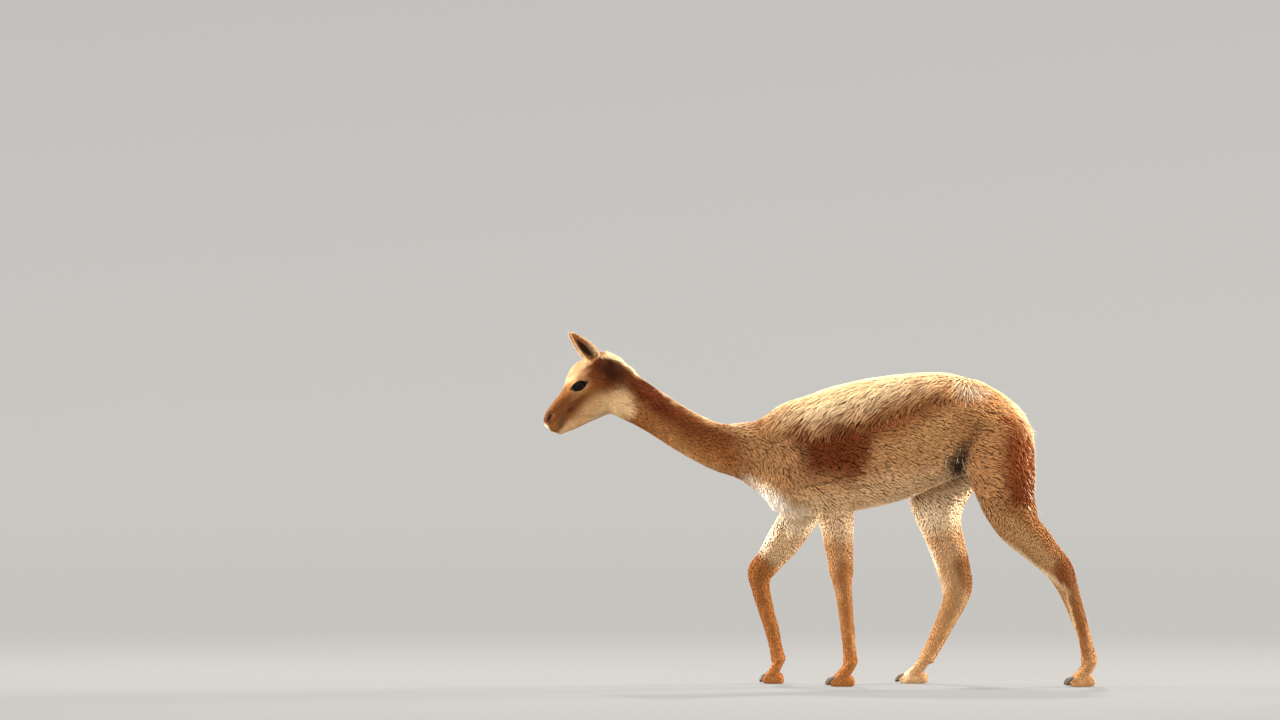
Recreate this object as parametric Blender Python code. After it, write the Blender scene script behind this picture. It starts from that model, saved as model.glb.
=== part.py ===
# Vicuna, life size, walking with its head held low.
# Metres, +Z up. The animal faces -X, its left side faces -Y, and its soles rest on Z = 0.
# One smooth body is fused from lofts, then parted into its named pieces by thin planar cuts.

import math
import random

import bmesh
import bpy
from mathutils import Matrix, Vector
from mathutils.bvhtree import BVHTree

# Sizes that drive the model
FIT_GAP = 0.0003        # clearance between two pieces that meet
BODY_VOXEL = 0.0045     # cell of the fused trunk, neck and legs
HEAD_VOXEL = 0.0028
FOOT_VOXEL = 0.0024
TRIM_MARGIN = 0.007     # extra kept past a cut until the mesh has been made coarser
CENTRING = -0.0101      # moves the whole animal so that the middle of its length is at X = 0

# Trunk, from the front of the chest to the rump:
# place along X, height of the back, height of the belly, half width
TRUNK = [
    (-0.180, 0.752, 0.577, 0.060),
    (-0.150, 0.775, 0.539, 0.080),
    (-0.096, 0.813, 0.500, 0.101),
    (-0.032, 0.834, 0.490, 0.117),
    (0.055, 0.864, 0.497, 0.130),
    (0.162, 0.887, 0.514, 0.139),
    (0.270, 0.900, 0.543, 0.140),
    (0.360, 0.904, 0.583, 0.133),
    (0.438, 0.891, 0.612, 0.122),
    (0.505, 0.866, 0.630, 0.106),
    (0.560, 0.830, 0.642, 0.080),
    (0.590, 0.795, 0.668, 0.046),
]

# Neck, from the back of the skull to inside the chest:
# X, Z, half height across the neck, half width
NECK = [
    (-0.600, 0.880, 0.068, 0.044),
    (-0.584, 0.866, 0.074, 0.048),
    (-0.551, 0.840, 0.068, 0.047),
    (-0.466, 0.790, 0.060, 0.047),
    (-0.377, 0.734, 0.061, 0.050),
    (-0.287, 0.692, 0.068, 0.055),
    (-0.200, 0.678, 0.088, 0.066),
    (-0.119, 0.662, 0.115, 0.082),
    (-0.040, 0.660, 0.130, 0.090),
]

# Legs, from inside the body to the fetlock: X, Z, distance from the middle, half depth, half width
LEGS = {
    "foreleg_right": [
        (-0.020, 0.700, 0.062, 0.075, 0.046),
        (-0.015, 0.610, 0.070, 0.072, 0.052),
        (-0.020, 0.540, 0.072, 0.066, 0.047),
        (-0.048, 0.484, 0.070, 0.055, 0.039),
        (-0.093, 0.415, 0.066, 0.050, 0.033),
        (-0.131, 0.362, 0.064, 0.040, 0.029),
        (-0.160, 0.325, 0.063, 0.038, 0.029),
        (-0.160, 0.284, 0.063, 0.028, 0.025),
        (-0.144, 0.217, 0.062, 0.0235, 0.021),
        (-0.127, 0.160, 0.061, 0.0215, 0.020),
        (-0.115, 0.107, 0.060, 0.0195, 0.019),
        (-0.107, 0.070, 0.060, 0.022, 0.021),
    ],
    "foreleg_left": [
        (-0.020, 0.700, 0.062, 0.075, 0.046),
        (0.005, 0.610, 0.071, 0.070, 0.052),
        (0.040, 0.545, 0.073, 0.062, 0.047),
        (0.056, 0.484, 0.072, 0.052, 0.040),
        (0.062, 0.420, 0.068, 0.043, 0.033),
        (0.068, 0.368, 0.065, 0.037, 0.029),
        (0.071, 0.332, 0.064, 0.036, 0.029),
        (0.075, 0.290, 0.064, 0.027, 0.025),
        (0.083, 0.220, 0.063, 0.0225, 0.021),
        (0.090, 0.155, 0.062, 0.0205, 0.020),
        (0.095, 0.104, 0.061, 0.0195, 0.019),
        (0.098, 0.070, 0.060, 0.022, 0.021),
    ],
    "hindleg_right": [
        (0.485, 0.790, 0.038, 0.045, 0.030),
        (0.484, 0.745, 0.058, 0.078, 0.045),
        (0.468, 0.690, 0.072, 0.104, 0.055),
        (0.425, 0.620, 0.083, 0.112, 0.056),
        (0.362, 0.545, 0.086, 0.089, 0.050),
        (0.360, 0.492, 0.083, 0.069, 0.044),
        (0.371, 0.445, 0.081, 0.057, 0.039),
        (0.388, 0.390, 0.078, 0.053, 0.034),
        (0.405, 0.330, 0.074, 0.049, 0.031),
        (0.414, 0.284, 0.072, 0.045, 0.030),
        (0.406, 0.238, 0.070, 0.036, 0.026),
        (0.384, 0.189, 0.069, 0.030, 0.023),
        (0.356, 0.131, 0.068, 0.0255, 0.022),
        (0.334, 0.089, 0.067, 0.0225, 0.022),
        (0.324, 0.070, 0.067, 0.0225, 0.022),
    ],
    "hindleg_left": [
        (0.515, 0.800, 0.040, 0.050, 0.030),
        (0.527, 0.755, 0.062, 0.092, 0.050),
        (0.530, 0.700, 0.076, 0.098, 0.057),
        (0.530, 0.625, 0.084, 0.100, 0.056),
        (0.542, 0.550, 0.086, 0.085, 0.050),
        (0.563, 0.499, 0.084, 0.073, 0.044),
        (0.588, 0.455, 0.082, 0.060, 0.040),
        (0.626, 0.418, 0.079, 0.053, 0.036),
        (0.664, 0.377, 0.076, 0.045, 0.032),
        (0.701, 0.336, 0.073, 0.040, 0.030),
        (0.723, 0.288, 0.071, 0.031, 0.027),
        (0.741, 0.240, 0.070, 0.0255, 0.024),
        (0.757, 0.192, 0.069, 0.0225, 0.022),
        (0.774, 0.136, 0.068, 0.0195, 0.020),
        (0.784, 0.090, 0.067, 0.0225, 0.021),
        (0.787, 0.068, 0.067, 0.024, 0.023),
    ],
}
THIGH_LEVEL = (0.46, 0.54)      # heights between which a thigh's sections become horizontal
KNEE_STATION = {"foreleg": 6, "hindleg": 9}
SIDES = {"left": 1.0, "right": -1.0}

# Head frame: origin in the skull, one axis along the muzzle, one towards the forehead
HEAD_ORIGIN = Vector((-0.612, 0.0, 0.899))
HEAD_PITCH = math.radians(40.6)     # how far the muzzle points below level
HEAD_YAW = math.radians(9.0)        # how far the muzzle is turned to the animal's left
# place along the muzzle, height of the top, height of the jaw, half width at top and at jaw
HEAD = [
    (-0.066, 0.012, -0.020, 0.020, 0.020),
    (-0.060, 0.025, -0.045, 0.034, 0.034),
    (-0.049, 0.044, -0.060, 0.041, 0.040),
    (-0.034, 0.059, -0.075, 0.045, 0.043),
    (0.000, 0.071, -0.092, 0.048, 0.045),
    (0.030, 0.079, -0.100, 0.050, 0.046),
    (0.055, 0.080, -0.098, 0.050, 0.045),
    (0.081, 0.072, -0.088, 0.044, 0.041),
    (0.105, 0.058, -0.081, 0.036, 0.036),
    (0.130, 0.046, -0.073, 0.030, 0.031),
    (0.155, 0.042, -0.066, 0.026, 0.028),
    (0.180, 0.037, -0.058, 0.025, 0.026),
    (0.200, 0.031, -0.049, 0.025, 0.024),
    (0.216, 0.023, -0.036, 0.022, 0.020),
    (0.227, 0.010, -0.018, 0.015, 0.014),
]

EYE_CENTRE = (0.0835, 0.0345, 0.030)     # along the muzzle, outward, up, in the head frame
EYE_RADIUS = 0.0205
EYE_BACK = 0.004                        # how far behind its widest place the eye is cut flat
LID_THICKNESS = 0.0028
EYE_OPENING = (0.0195, 0.0125)          # half length and half height between the lids
EYE_SLANT = math.radians(16)
EAR_ROOT = (-0.005, 0.037, 0.047)
EAR_LENGTH = 0.113
EAR_HALF_WIDTH = 0.0228
EAR_WALL = 0.0036
EAR_CURL = math.radians(68)             # half the arc that the ear's section takes at its root
EAR_LEAN = math.radians(7)              # outward
EAR_TURN = math.radians(-30)            # how far the hollow is turned from outward to forward
EAR_BEND = 0.006
EAR_FILLED = 0.16                       # share of the ear's length over which its hollow opens
EAR_CLEARANCE = 0.0005
# share of the ear's length, from under the root to the tip, and of its half width
EAR_LEAF = [
    (-0.14, 0.50), (0.00, 0.64), (0.08, 0.78), (0.18, 0.92), (0.30, 1.00), (0.44, 0.98),
    (0.58, 0.87), (0.71, 0.70), (0.83, 0.49), (0.93, 0.27), (1.00, 0.10),
]

# Rounded forms on each half of the head, in the head frame: centre, then half sizes
HEAD_FORMS = [
    ((0.074, 0.0265, 0.038), (0.044, 0.0195, 0.024)),       # brow
    ((0.060, 0.026, -0.030), (0.066, 0.019, 0.050)),        # cheek
    ((0.118, 0.014, -0.004), (0.062, 0.017, 0.030)),        # side of the muzzle
    ((0.207, 0.009, -0.001), (0.023, 0.016, 0.018)),        # upper lip
    ((-0.006, 0.029, 0.034), (0.028, 0.020, 0.034)),        # swelling under the ear
    ((-0.005, 0.035, 0.048), (0.015, 0.015, 0.018)),        # root of the ear
]
CHIN = ((0.196, 0.0, -0.036), (0.020, 0.017, 0.015))
NOSTRIL = ((0.203, 0.021, 0.012), (0.0105, 0.0075, 0.0034))
NOSTRIL_TURN = math.radians(-14)        # its front end inward
NOSTRIL_TILT = math.radians(20)         # its front end down

# Line of the mouth, from its corner to the middle of the lips: along, outward, up
MOUTH_LINE = [
    (0.168, 0.0262, -0.0195), (0.185, 0.0250, -0.0170), (0.200, 0.0235, -0.0160),
    (0.212, 0.0200, -0.0155), (0.221, 0.0130, -0.0150), (0.2250, 0.0, -0.0148),
]
MOUTH_DEPTH = 0.0042
MOUTH_GAPE = 0.0012     # half the height of the slit between the lips

# Foot: rows that run forward from the fetlock, for one toe
TOE_PATH = [
    (-0.004, 0.074, 0.0165, 0.0110),
    (0.010, 0.054, 0.0170, 0.0118),
    (0.026, 0.036, 0.0165, 0.0118),
    (0.046, 0.022, 0.0140, 0.0116),
    (0.062, 0.015, 0.0115, 0.0106),
    (0.073, 0.011, 0.0080, 0.0080),
]
PAD_PATH = [
    (-0.008, 0.016, 0.0100, 0.0085),
    (0.001, 0.0155, 0.0160, 0.0122),
    (0.018, 0.014, 0.0160, 0.0135),
    (0.042, 0.012, 0.0138, 0.0128),
    (0.060, 0.010, 0.0105, 0.0104),
    (0.071, 0.009, 0.0070, 0.0070),
]
TOE_SPREAD = 0.0118
NAIL_PATH = [
    (0.054, 0.0265, 0.0040, 0.0070),
    (0.066, 0.0205, 0.0075, 0.0078),
    (0.076, 0.0125, 0.0075, 0.0062),
    (0.0835, 0.0068, 0.0034, 0.0030),
]
# X and distance from the middle of each fetlock, turn outward in degrees, how far the toes
# reach ahead of it, as a share of the path's reach, and how far the sole is set back
FEET = {
    "fore_right": (-0.105, 0.060, 6, 0.76, 0.008),
    "fore_left": (0.099, 0.060, 6, 0.90, 0.002),
    "hind_right": (0.319, 0.067, 8, 1.02, 0.000),
    "hind_left": (0.788, 0.067, 8, 0.92, 0.004),
}

# Planes that part the body: a point and the direction it faces, in the X-Z plane
NECK_TOP_CUT = (Vector((-0.580, 0.0, 0.867)), Vector((0.974, 0.0, -0.228)))
NECK_ROOT_CUT = (Vector((-0.206, 0.0, 0.676)), Vector((0.966, 0.0, -0.259)))
CHEST_CUT = (Vector((0.150, 0.0, 0.700)), Vector((1.0, 0.0, 0.0)))
RUMP_CUT = (Vector((0.322, 0.0, 0.722)), Vector((0.950, 0.0, -0.312)))
FORELEG_CUT = (Vector((0.0, 0.0, 0.484)), Vector((0.0, 0.0, -1.0)))
HINDLEG_CUT = (Vector((0.5, 0.0, 0.542)), Vector((0.0, 0.0, -1.0)))
LEG_DIVIDE = (Vector((0.200, 0.0, 0.300)), Vector((1.0, 0.0, 0.0)))
FETLOCK_HEIGHT = 0.082
LEG_STUB = 0.03         # spare length below the fetlock, cut away again

TAIL_PATH = [
    (0.548, 0.818, 0.016, 0.020),
    (0.577, 0.803, 0.017, 0.025),
    (0.602, 0.770, 0.017, 0.030),
    (0.614, 0.725, 0.016, 0.033),
    (0.618, 0.675, 0.015, 0.033),
    (0.616, 0.625, 0.013, 0.028),
    (0.612, 0.585, 0.010, 0.020),
    (0.610, 0.562, 0.005, 0.008),
]
TAIL_CLEARANCE = 0.0008

# A lock of hair: its width along its length as a share of the widest place, and how high
# it lies over the surface as a share of its lift; the root is sunk
LOCK_TAPER = (0.60, 1.00, 1.00, 0.70, 0.08)
LOCK_RISE = (-0.7, 0.05, 0.75, 0.95, 1.0)
LOCK_REACH = (0.0, 0.22, 0.48, 0.76, 1.0)
LOCK_HALF_WIDTH = (0.0095, 0.0130)
LOCK_THICKNESS = 0.0058

# Bib: locks on the lower front of the chest, in rows from the root of the neck to the breastbone
BIB_CENTRE = Vector((-0.080, 0.0, 0.640))
BIB_ROWS = (20, 33, 46, 60)                 # degrees below level, ahead of the centre
BIB_SPREAD = 0.058                          # half the width that a row covers
BIB_ACROSS = 6
BIB_LENGTH = (0.070, 0.095)
BIB_LIFT = 0.0080
BIB_LIE = Vector((0.62, 0.0, -0.78))
BIB_FLOOR = 0.4885                          # no lock of the bib reaches below this height

# Hair of the tail: rows of locks from its root to its tip
TAIL_ROWS = (0.08, 0.30, 0.52, 0.74)        # share of the tail's length
TAIL_ACROSS = 4
TAIL_FAN = math.radians(62)                 # how far round from straight back the locks root
TAIL_REACH = (0.29, 0.35)                   # length of a lock as a share of the tail's
TAIL_LIFT = 0.0045
TAIL_TIP = (0.003, 0.005)                   # half depth and width that the locks close in to

TRIANGLES = {
    "head": 1120, "neck": 440, "chest": 640, "barrel": 380, "rump": 680,
    "upper": 220, "lower": 170, "foot": 210,
}

FINISHES = {
    "coat_gold": ((0.46, 0.24, 0.10), 0.9),
    "coat_cream": ((0.72, 0.58, 0.42), 0.9),
    "eye_dark": ((0.02, 0.013, 0.010), 0.12),
    "nail_dark": ((0.06, 0.05, 0.045), 0.5),
}


def clear_scene():
    for old in list(bpy.data.objects):
        bpy.data.objects.remove(old, do_unlink=True)


def make_finish(name):
    color, roughness = FINISHES[name]
    finish = bpy.data.materials.get(name)
    if finish is None:
        finish = bpy.data.materials.new(name)
        finish.use_nodes = True
        shader = finish.node_tree.nodes["Principled BSDF"]
        shader.inputs["Base Color"].default_value = (*color, 1.0)
        shader.inputs["Roughness"].default_value = roughness
        shader.inputs["Metallic"].default_value = 0.0
    return finish


def place(name, mesh, finish=None):
    """A mesh as a named object in the scene; a piece with a finish is final and gets centred."""
    piece = bpy.data.objects.new(name, mesh)
    bpy.context.scene.collection.objects.link(piece)
    if finish:
        mesh.transform(Matrix.Translation((CENTRING, 0, 0)))
        mesh.materials.clear()
        mesh.materials.append(make_finish(finish))
        mesh.shade_smooth()
        mesh.set_sharp_from_angle(angle=math.radians(50))
    return piece


def ramp(value, low, high):
    return max(0.0, min(1.0, (value - low) / (high - low)))


def curve_through(stations, steps):
    """Rows of numbers on a smooth curve through the stations' rows."""
    rows = []
    last = len(stations) - 1
    for i in range(last):
        before = stations[max(i - 1, 0)]
        start = stations[i]
        end = stations[i + 1]
        after = stations[min(i + 2, last)]
        for step in range(steps):
            t = step / steps
            rows.append([
                0.5 * (2 * b + (c - a) * t + (2 * a - 5 * b + 4 * c - d) * t ** 2
                       + (3 * b - a - 3 * c + d) * t ** 3)
                for a, b, c, d in zip(before, start, end, after)
            ])
    rows.append(list(stations[last]))
    return rows


def superellipse(angle, power):
    c, s = math.cos(angle), math.sin(angle)
    return (math.copysign(abs(c) ** (2 / power), c), math.copysign(abs(s) ** (2 / power), s))


def skin_rings(rings):
    """A closed mesh from rings of points, each end filled."""
    bm = bmesh.new()
    loops = [[bm.verts.new(point) for point in ring] for ring in rings]
    count = len(loops[0])
    for near, far in zip(loops, loops[1:]):
        for i in range(count):
            j = (i + 1) % count
            bm.faces.new((near[i], near[j], far[j], far[i]))
    bm.faces.new(list(reversed(loops[0])))
    bm.faces.new(loops[-1])
    bmesh.ops.triangulate(bm, faces=bm.faces)
    bmesh.ops.recalc_face_normals(bm, faces=bm.faces)
    mesh = bpy.data.meshes.new("loft")
    bm.to_mesh(mesh)
    bm.free()
    return mesh


def loft_along(rows, sides=24, power=2.2, level=None):
    """Sections square to a path in an X-Z plane: rows of X, Y, Z, half depth and half width.
    Between the two heights of level the sections turn from square to the path to horizontal."""
    rings = []
    for i, (x, y, z, depth, width) in enumerate(rows):
        ahead = rows[min(i + 1, len(rows) - 1)]
        behind = rows[max(i - 1, 0)]
        run = Vector((ahead[0] - behind[0], 0, ahead[2] - behind[2])).normalized()
        across = Vector((-run.z, 0, run.x))
        if level:
            across = across.lerp(Vector((1, 0, 0)), ramp(z, *level)).normalized()
        ring = []
        for k in range(sides):
            c, s = superellipse(2 * math.pi * k / sides, power)
            ring.append(Vector((x, y, z)) + across * (depth * c) + Vector((0, width * s, 0)))
        rings.append(ring)
    return skin_rings(rings)


def trunk_loft():
    rings = []
    for x, top, bottom, width in curve_through(TRUNK, 5):
        middle = (top + bottom) / 2
        half = (top - bottom) / 2
        ring = []
        for k in range(40):
            c, s = superellipse(2 * math.pi * k / 40, 2.25)
            ring.append(Vector((x, width * c, middle + half * s)))
        rings.append(ring)
    return skin_rings(rings)


def neck_loft():
    rows = [(x, 0.0, z, half, width) for x, z, half, width in curve_through(NECK, 5)]
    return loft_along(rows, 32)


def leg_loft(name, reach=0.0):
    """A leg as one loft, run on straight past the fetlock by the given reach."""
    side = SIDES[name.split("_")[1]]
    rows = [(x, -side * out, z, depth, width)
            for x, z, out, depth, width in curve_through(LEGS[name], 5)]
    x, y, z, depth, width = rows[-1]
    if reach:
        rows.append((x, y, z - reach, depth, width))
    else:
        before = rows[-2]
        rows.append((4 * x - 3 * before[0], y, 4 * z - 3 * before[2], depth * 0.6, width * 0.6))
    level = THIGH_LEVEL if name.startswith("hind") else None
    return loft_along(rows, 28, level=level)


def head_matrix(side=1.0):
    """Head frame to world: X along the muzzle, Y outward on the given side, Z to the forehead."""
    turn = Matrix.Rotation(HEAD_YAW, 4, "Z")
    forward = Vector((-math.cos(HEAD_PITCH), 0, -math.sin(HEAD_PITCH)))
    up = Vector((-math.sin(HEAD_PITCH), 0, math.cos(HEAD_PITCH)))
    left = Vector((0, -1, 0))
    axes = Matrix((forward, left, up)).transposed().to_4x4()
    return Matrix.Translation(HEAD_ORIGIN) @ turn @ axes @ Matrix.Diagonal((1, side, 1, 1))


def moved(mesh, matrix):
    """The mesh transformed, with its faces kept outward where the matrix mirrors it."""
    mesh.transform(matrix)
    if matrix.determinant() < 0:
        mesh.flip_normals()
    return mesh


def head_loft():
    rings = []
    for along, top, jaw, wide_top, wide_jaw in curve_through(HEAD, 4):
        ring = []
        widest = jaw + 0.56 * (top - jaw)
        for k in range(32):
            c, s = superellipse(2 * math.pi * k / 32, 2.15)
            if s >= 0:
                ring.append(Vector((along, wide_top * c, widest + (top - widest) * s)))
            else:
                share = -s
                half = wide_top + (wide_jaw - wide_top) * share
                ring.append(Vector((along, half * c, widest + (widest - jaw) * s)))
        rings.append(ring)
    return moved(skin_rings(rings), head_matrix())


def ellipsoid(centre, radii, side=1.0, turn=None):
    """An ellipsoid in the head frame, moved to the world."""
    bm = bmesh.new()
    bmesh.ops.create_icosphere(bm, subdivisions=3, radius=1.0)
    mesh = bpy.data.meshes.new("ellipsoid")
    bm.to_mesh(mesh)
    bm.free()
    shape = (turn or Matrix()) @ Matrix.Diagonal((*radii, 1.0))
    return moved(mesh, head_matrix(side) @ Matrix.Translation(centre) @ shape)


def fused(meshes, voxel, passes, soft=None, soft_passes=0):
    """One smooth closed surface around all the meshes, smoothed further where soft says."""
    bm = bmesh.new()
    for mesh in meshes:
        bm.from_mesh(mesh)
        bpy.data.meshes.remove(mesh)
    joined = bpy.data.meshes.new("joined")
    bm.to_mesh(joined)
    bm.free()
    holder = place("holder", joined)
    remesh = holder.modifiers.new("Remesh", "REMESH")
    remesh.mode = "VOXEL"
    remesh.voxel_size = voxel
    closed = evaluated(holder)
    bpy.data.objects.remove(holder, do_unlink=True)
    holder = place("holder", closed)
    smooth = holder.modifiers.new("Smooth", "SMOOTH")
    smooth.factor = 0.5
    smooth.iterations = passes
    if soft:
        group = holder.vertex_groups.new(name="soft")
        for vert in closed.vertices:
            weight = soft(vert.co)
            if weight > 0:
                group.add([vert.index], min(weight, 1.0), "REPLACE")
        blend = holder.modifiers.new("Blend", "SMOOTH")
        blend.factor = 0.5
        blend.iterations = soft_passes
        blend.vertex_group = "soft"
    result = evaluated(holder)
    bpy.data.objects.remove(holder, do_unlink=True)
    return result


def body_softness(point):
    """Full on the trunk and behind the skull, none on the neck and lower legs."""
    low = 0.40 + 0.10 * ramp(point.x, 0.20, 0.30)
    trunk = ramp(point.z, low, low + 0.12) * ramp(point.x, -0.30, -0.16)
    return max(trunk, 0.7 * ramp(point.x, -0.50, -0.56))


def head_softness(point):
    """Grows towards the cut behind the skull, the eyes and the roots of the ears."""
    weight = ramp(point.x, -0.62, -0.57)
    for side in SIDES.values():
        to_world = head_matrix(side)
        from_eye = (to_world @ Vector(EYE_CENTRE) - point).length
        from_ear = (to_world @ Vector(EAR_ROOT) - point).length
        weight = max(weight, 0.6 - ramp(from_eye, 0.025, 0.06), 1 - ramp(from_ear, 0.03, 0.055))
    return weight


def evaluated(holder):
    bpy.context.view_layer.update()
    graph = bpy.context.evaluated_depsgraph_get()
    return bpy.data.meshes.new_from_object(holder.evaluated_get(graph), depsgraph=graph)


def slice_off(bm, point, facing, fill):
    """Removes what lies past a plane, and fills the cut where that is asked."""
    geometry = bm.verts[:] + bm.edges[:] + bm.faces[:]
    cut = bmesh.ops.bisect_plane(
        bm, geom=geometry, plane_co=point, plane_no=facing, clear_outer=True, dist=1e-6)
    if not fill:
        return
    rim = [item for item in cut["geom_cut"] if isinstance(item, bmesh.types.BMEdge)]
    rim = [edge for edge in rim if edge.is_boundary]
    filled = bmesh.ops.holes_fill(bm, edges=rim, sides=0)["faces"]
    bmesh.ops.triangulate(bm, faces=filled)


def coarser(mesh, triangles):
    """The mesh with about the given number of triangles."""
    holder = place("holder", mesh)
    mesh.calc_loop_triangles()
    decimate = holder.modifiers.new("Decimate", "DECIMATE")
    decimate.ratio = min(1.0, triangles / len(mesh.loop_triangles))
    decimate.use_collapse_triangulate = True
    result = evaluated(holder)
    bpy.data.objects.remove(holder, do_unlink=True)
    return result


def largest_shell(bm):
    """Drops every connected scrap but the largest."""
    unseen = set(bm.verts)
    shells = []
    while unseen:
        start = unseen.pop()
        shell = {start}
        edge_of_search = [start]
        while edge_of_search:
            vert = edge_of_search.pop()
            for edge in vert.link_edges:
                other = edge.other_vert(vert)
                if other in unseen:
                    unseen.discard(other)
                    shell.add(other)
                    edge_of_search.append(other)
        shells.append(shell)
    keep = max(shells, key=len)
    spare = [vert for vert in bm.verts if vert not in keep]
    bmesh.ops.delete(bm, geom=spare, context="VERTS")


def drop_folds(bm):
    """Removes faces folded flat on each other, and edges and points that no face uses."""
    seen = {}
    for face in bm.faces:
        seen.setdefault(frozenset(face.verts), []).append(face)
    doubled = [face for group in seen.values() if len(group) > 1 for face in group]
    bmesh.ops.delete(bm, geom=doubled, context="FACES_ONLY")
    bmesh.ops.delete(bm, geom=[edge for edge in bm.edges if edge.is_wire], context="EDGES")
    bmesh.ops.delete(bm, geom=[v for v in bm.verts if not v.link_faces], context="VERTS")


def cleaned(bm):
    """The largest shell as a mesh of triangles, without slivers where they can go safely."""
    tidy = bm.copy()
    bmesh.ops.remove_doubles(tidy, verts=tidy.verts, dist=0.00001)
    bmesh.ops.dissolve_degenerate(tidy, edges=tidy.edges, dist=0.00001)
    bmesh.ops.triangulate(tidy, faces=tidy.faces)
    drop_folds(tidy)
    if any(not edge.is_manifold for edge in tidy.edges):
        tidy.free()
        tidy = bm.copy()
        bmesh.ops.triangulate(tidy, faces=tidy.faces)
    bm.free()
    largest_shell(tidy)
    bmesh.ops.recalc_face_normals(tidy, faces=tidy.faces)
    mesh = bpy.data.meshes.new("piece")
    tidy.to_mesh(mesh)
    tidy.free()
    return mesh


def surface_of(mesh):
    bm = bmesh.new()
    bm.from_mesh(mesh)
    surface = BVHTree.FromBMesh(bm)
    bm.free()
    return surface


def lock_mesh(points, ups, half_width):
    """A flat lock with a low ridge, carried along a bent path and tapered to its tip."""
    rings = []
    last = len(points) - 1
    for i, (point, up) in enumerate(zip(points, ups)):
        run = (points[min(i + 1, last)] - points[max(i - 1, 0)]).normalized()
        aside = run.cross(up).normalized() * (half_width * LOCK_TAPER[i])
        above = up * (LOCK_THICKNESS * LOCK_TAPER[i])
        rings.append([point + aside, point + above, point - aside])
    return skin_rings(rings)


def bib_locks(surface, chance):
    """Locks that leave the chest's surface at their roots and follow it down and back."""
    locks = []
    for row, below in enumerate(BIB_ROWS):
        for k in range(BIB_ACROSS):
            share = (k + 0.5 + (0.25 if row % 2 else -0.25)) / BIB_ACROSS * 2 - 1
            angle = math.radians(below + chance.uniform(-3, 3))
            start = BIB_CENTRE + Vector((0, share * BIB_SPREAD, 0))
            out = Vector((-math.cos(angle), share * 0.25, -math.sin(angle))).normalized()
            root = surface.ray_cast(start, out)[0]
            lie = (BIB_LIE + Vector((0, share * 0.12 + chance.uniform(-0.12, 0.12), 0))).normalized()
            length = min(chance.uniform(*BIB_LENGTH), (root.z - BIB_FLOOR) / -lie.z)
            lift = BIB_LIFT * chance.uniform(0.8, 1.3)
            points, ups = [], []
            for reach, rise in zip(LOCK_REACH, LOCK_RISE):
                near, normal = surface.find_nearest(root + lie * (length * reach))[:2]
                points.append(near + normal * (lift * rise))
                ups.append(normal)
            locks.append(lock_mesh(points, ups, chance.uniform(*LOCK_HALF_WIDTH)))
    return locks


def tail_point(axis, share, turn, lift):
    """A point over the tail's surface and the way out from its axis, past its tip as well."""
    last = len(axis) - 1
    at = min(share, 1.0) * last
    low = min(int(at), last - 1)
    x, z, depth, width = (a + (b - a) * (at - low) for a, b in zip(axis[low], axis[low + 1]))
    run = Vector((axis[low + 1][0] - axis[low][0], 0, axis[low + 1][1] - axis[low][1]))
    centre = Vector((x, 0, z)) + run * (max(share - 1.0, 0.0) * last)
    back = Vector((-run.z, 0, run.x)).normalized()
    out = back * math.cos(turn) + Vector((0, math.sin(turn), 0))
    depth, width = max(depth, TAIL_TIP[0]), max(width, TAIL_TIP[1])
    radius = 1 / math.hypot(math.cos(turn) / depth, math.sin(turn) / width)
    return centre + out * (radius + lift), out


def tail_locks(chance):
    """Locks that run down the back and sides of the tail and close in past its tip."""
    axis = curve_through(TAIL_PATH, 10)
    locks = []
    for row, share in enumerate(TAIL_ROWS):
        for k in range(TAIL_ACROSS):
            turn = TAIL_FAN * ((k + 0.5 + (0.25 if row % 2 else -0.25)) / TAIL_ACROSS * 2 - 1)
            drift = chance.uniform(-0.15, 0.15)
            length = chance.uniform(*TAIL_REACH)
            lift = TAIL_LIFT * chance.uniform(0.8, 1.3)
            rows = [tail_point(axis, share + length * reach, turn + drift * reach, lift * rise)
                    for reach, rise in zip(LOCK_REACH, LOCK_RISE)]
            points, outs = zip(*rows)
            locks.append(lock_mesh(points, outs, chance.uniform(*LOCK_HALF_WIDTH)))
    return locks


def carved(source, planes, triangles):
    """The part of a fused surface behind every plane, made coarser and closed."""
    bm = bmesh.new()
    bm.from_mesh(source)
    for point, facing in planes:
        slice_off(bm, point + facing * TRIM_MARGIN, facing, fill=False)
    rough = bpy.data.meshes.new("rough")
    bm.to_mesh(rough)
    bm.free()
    rough = coarser(rough, triangles)
    bm = bmesh.new()
    bm.from_mesh(rough)
    for point, facing in planes:
        slice_off(bm, point - facing * (FIT_GAP / 2), facing, fill=True)
    return cleaned(bm)


def grown(mesh, amount=FIT_GAP):
    """The mesh made larger all round by the given clearance."""
    bm = bmesh.new()
    bm.from_mesh(mesh)
    bm.normal_update()
    shifts = [vert.normal * vert.calc_shell_factor() * amount for vert in bm.verts]
    for vert, shift in zip(bm.verts, shifts):
        vert.co += shift
    bm.to_mesh(mesh)
    bm.free()
    return mesh


def flipped(plane):
    return (plane[0], -plane[1])


def combined(base, tools, operation="DIFFERENCE", solver="EXACT"):
    """The base mesh with every tool mesh cut from it, or joined to it."""
    holder = place("holder", base)
    group = bpy.data.collections.new("tools")
    bpy.context.scene.collection.children.link(group)
    helpers = []
    for mesh in tools:
        helper = bpy.data.objects.new("tool", mesh)
        group.objects.link(helper)
        helper.hide_render = True
        helper.display_type = "WIRE"
        helpers.append(helper)
    boolean = holder.modifiers.new("Boolean", "BOOLEAN")
    boolean.operation = operation
    boolean.operand_type = "COLLECTION"
    boolean.collection = group
    boolean.solver = solver
    result = evaluated(holder)
    for helper in helpers + [holder]:
        bpy.data.objects.remove(helper, do_unlink=True)
    bpy.data.collections.remove(group)
    bm = bmesh.new()
    bm.from_mesh(result)
    return cleaned(bm)


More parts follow.
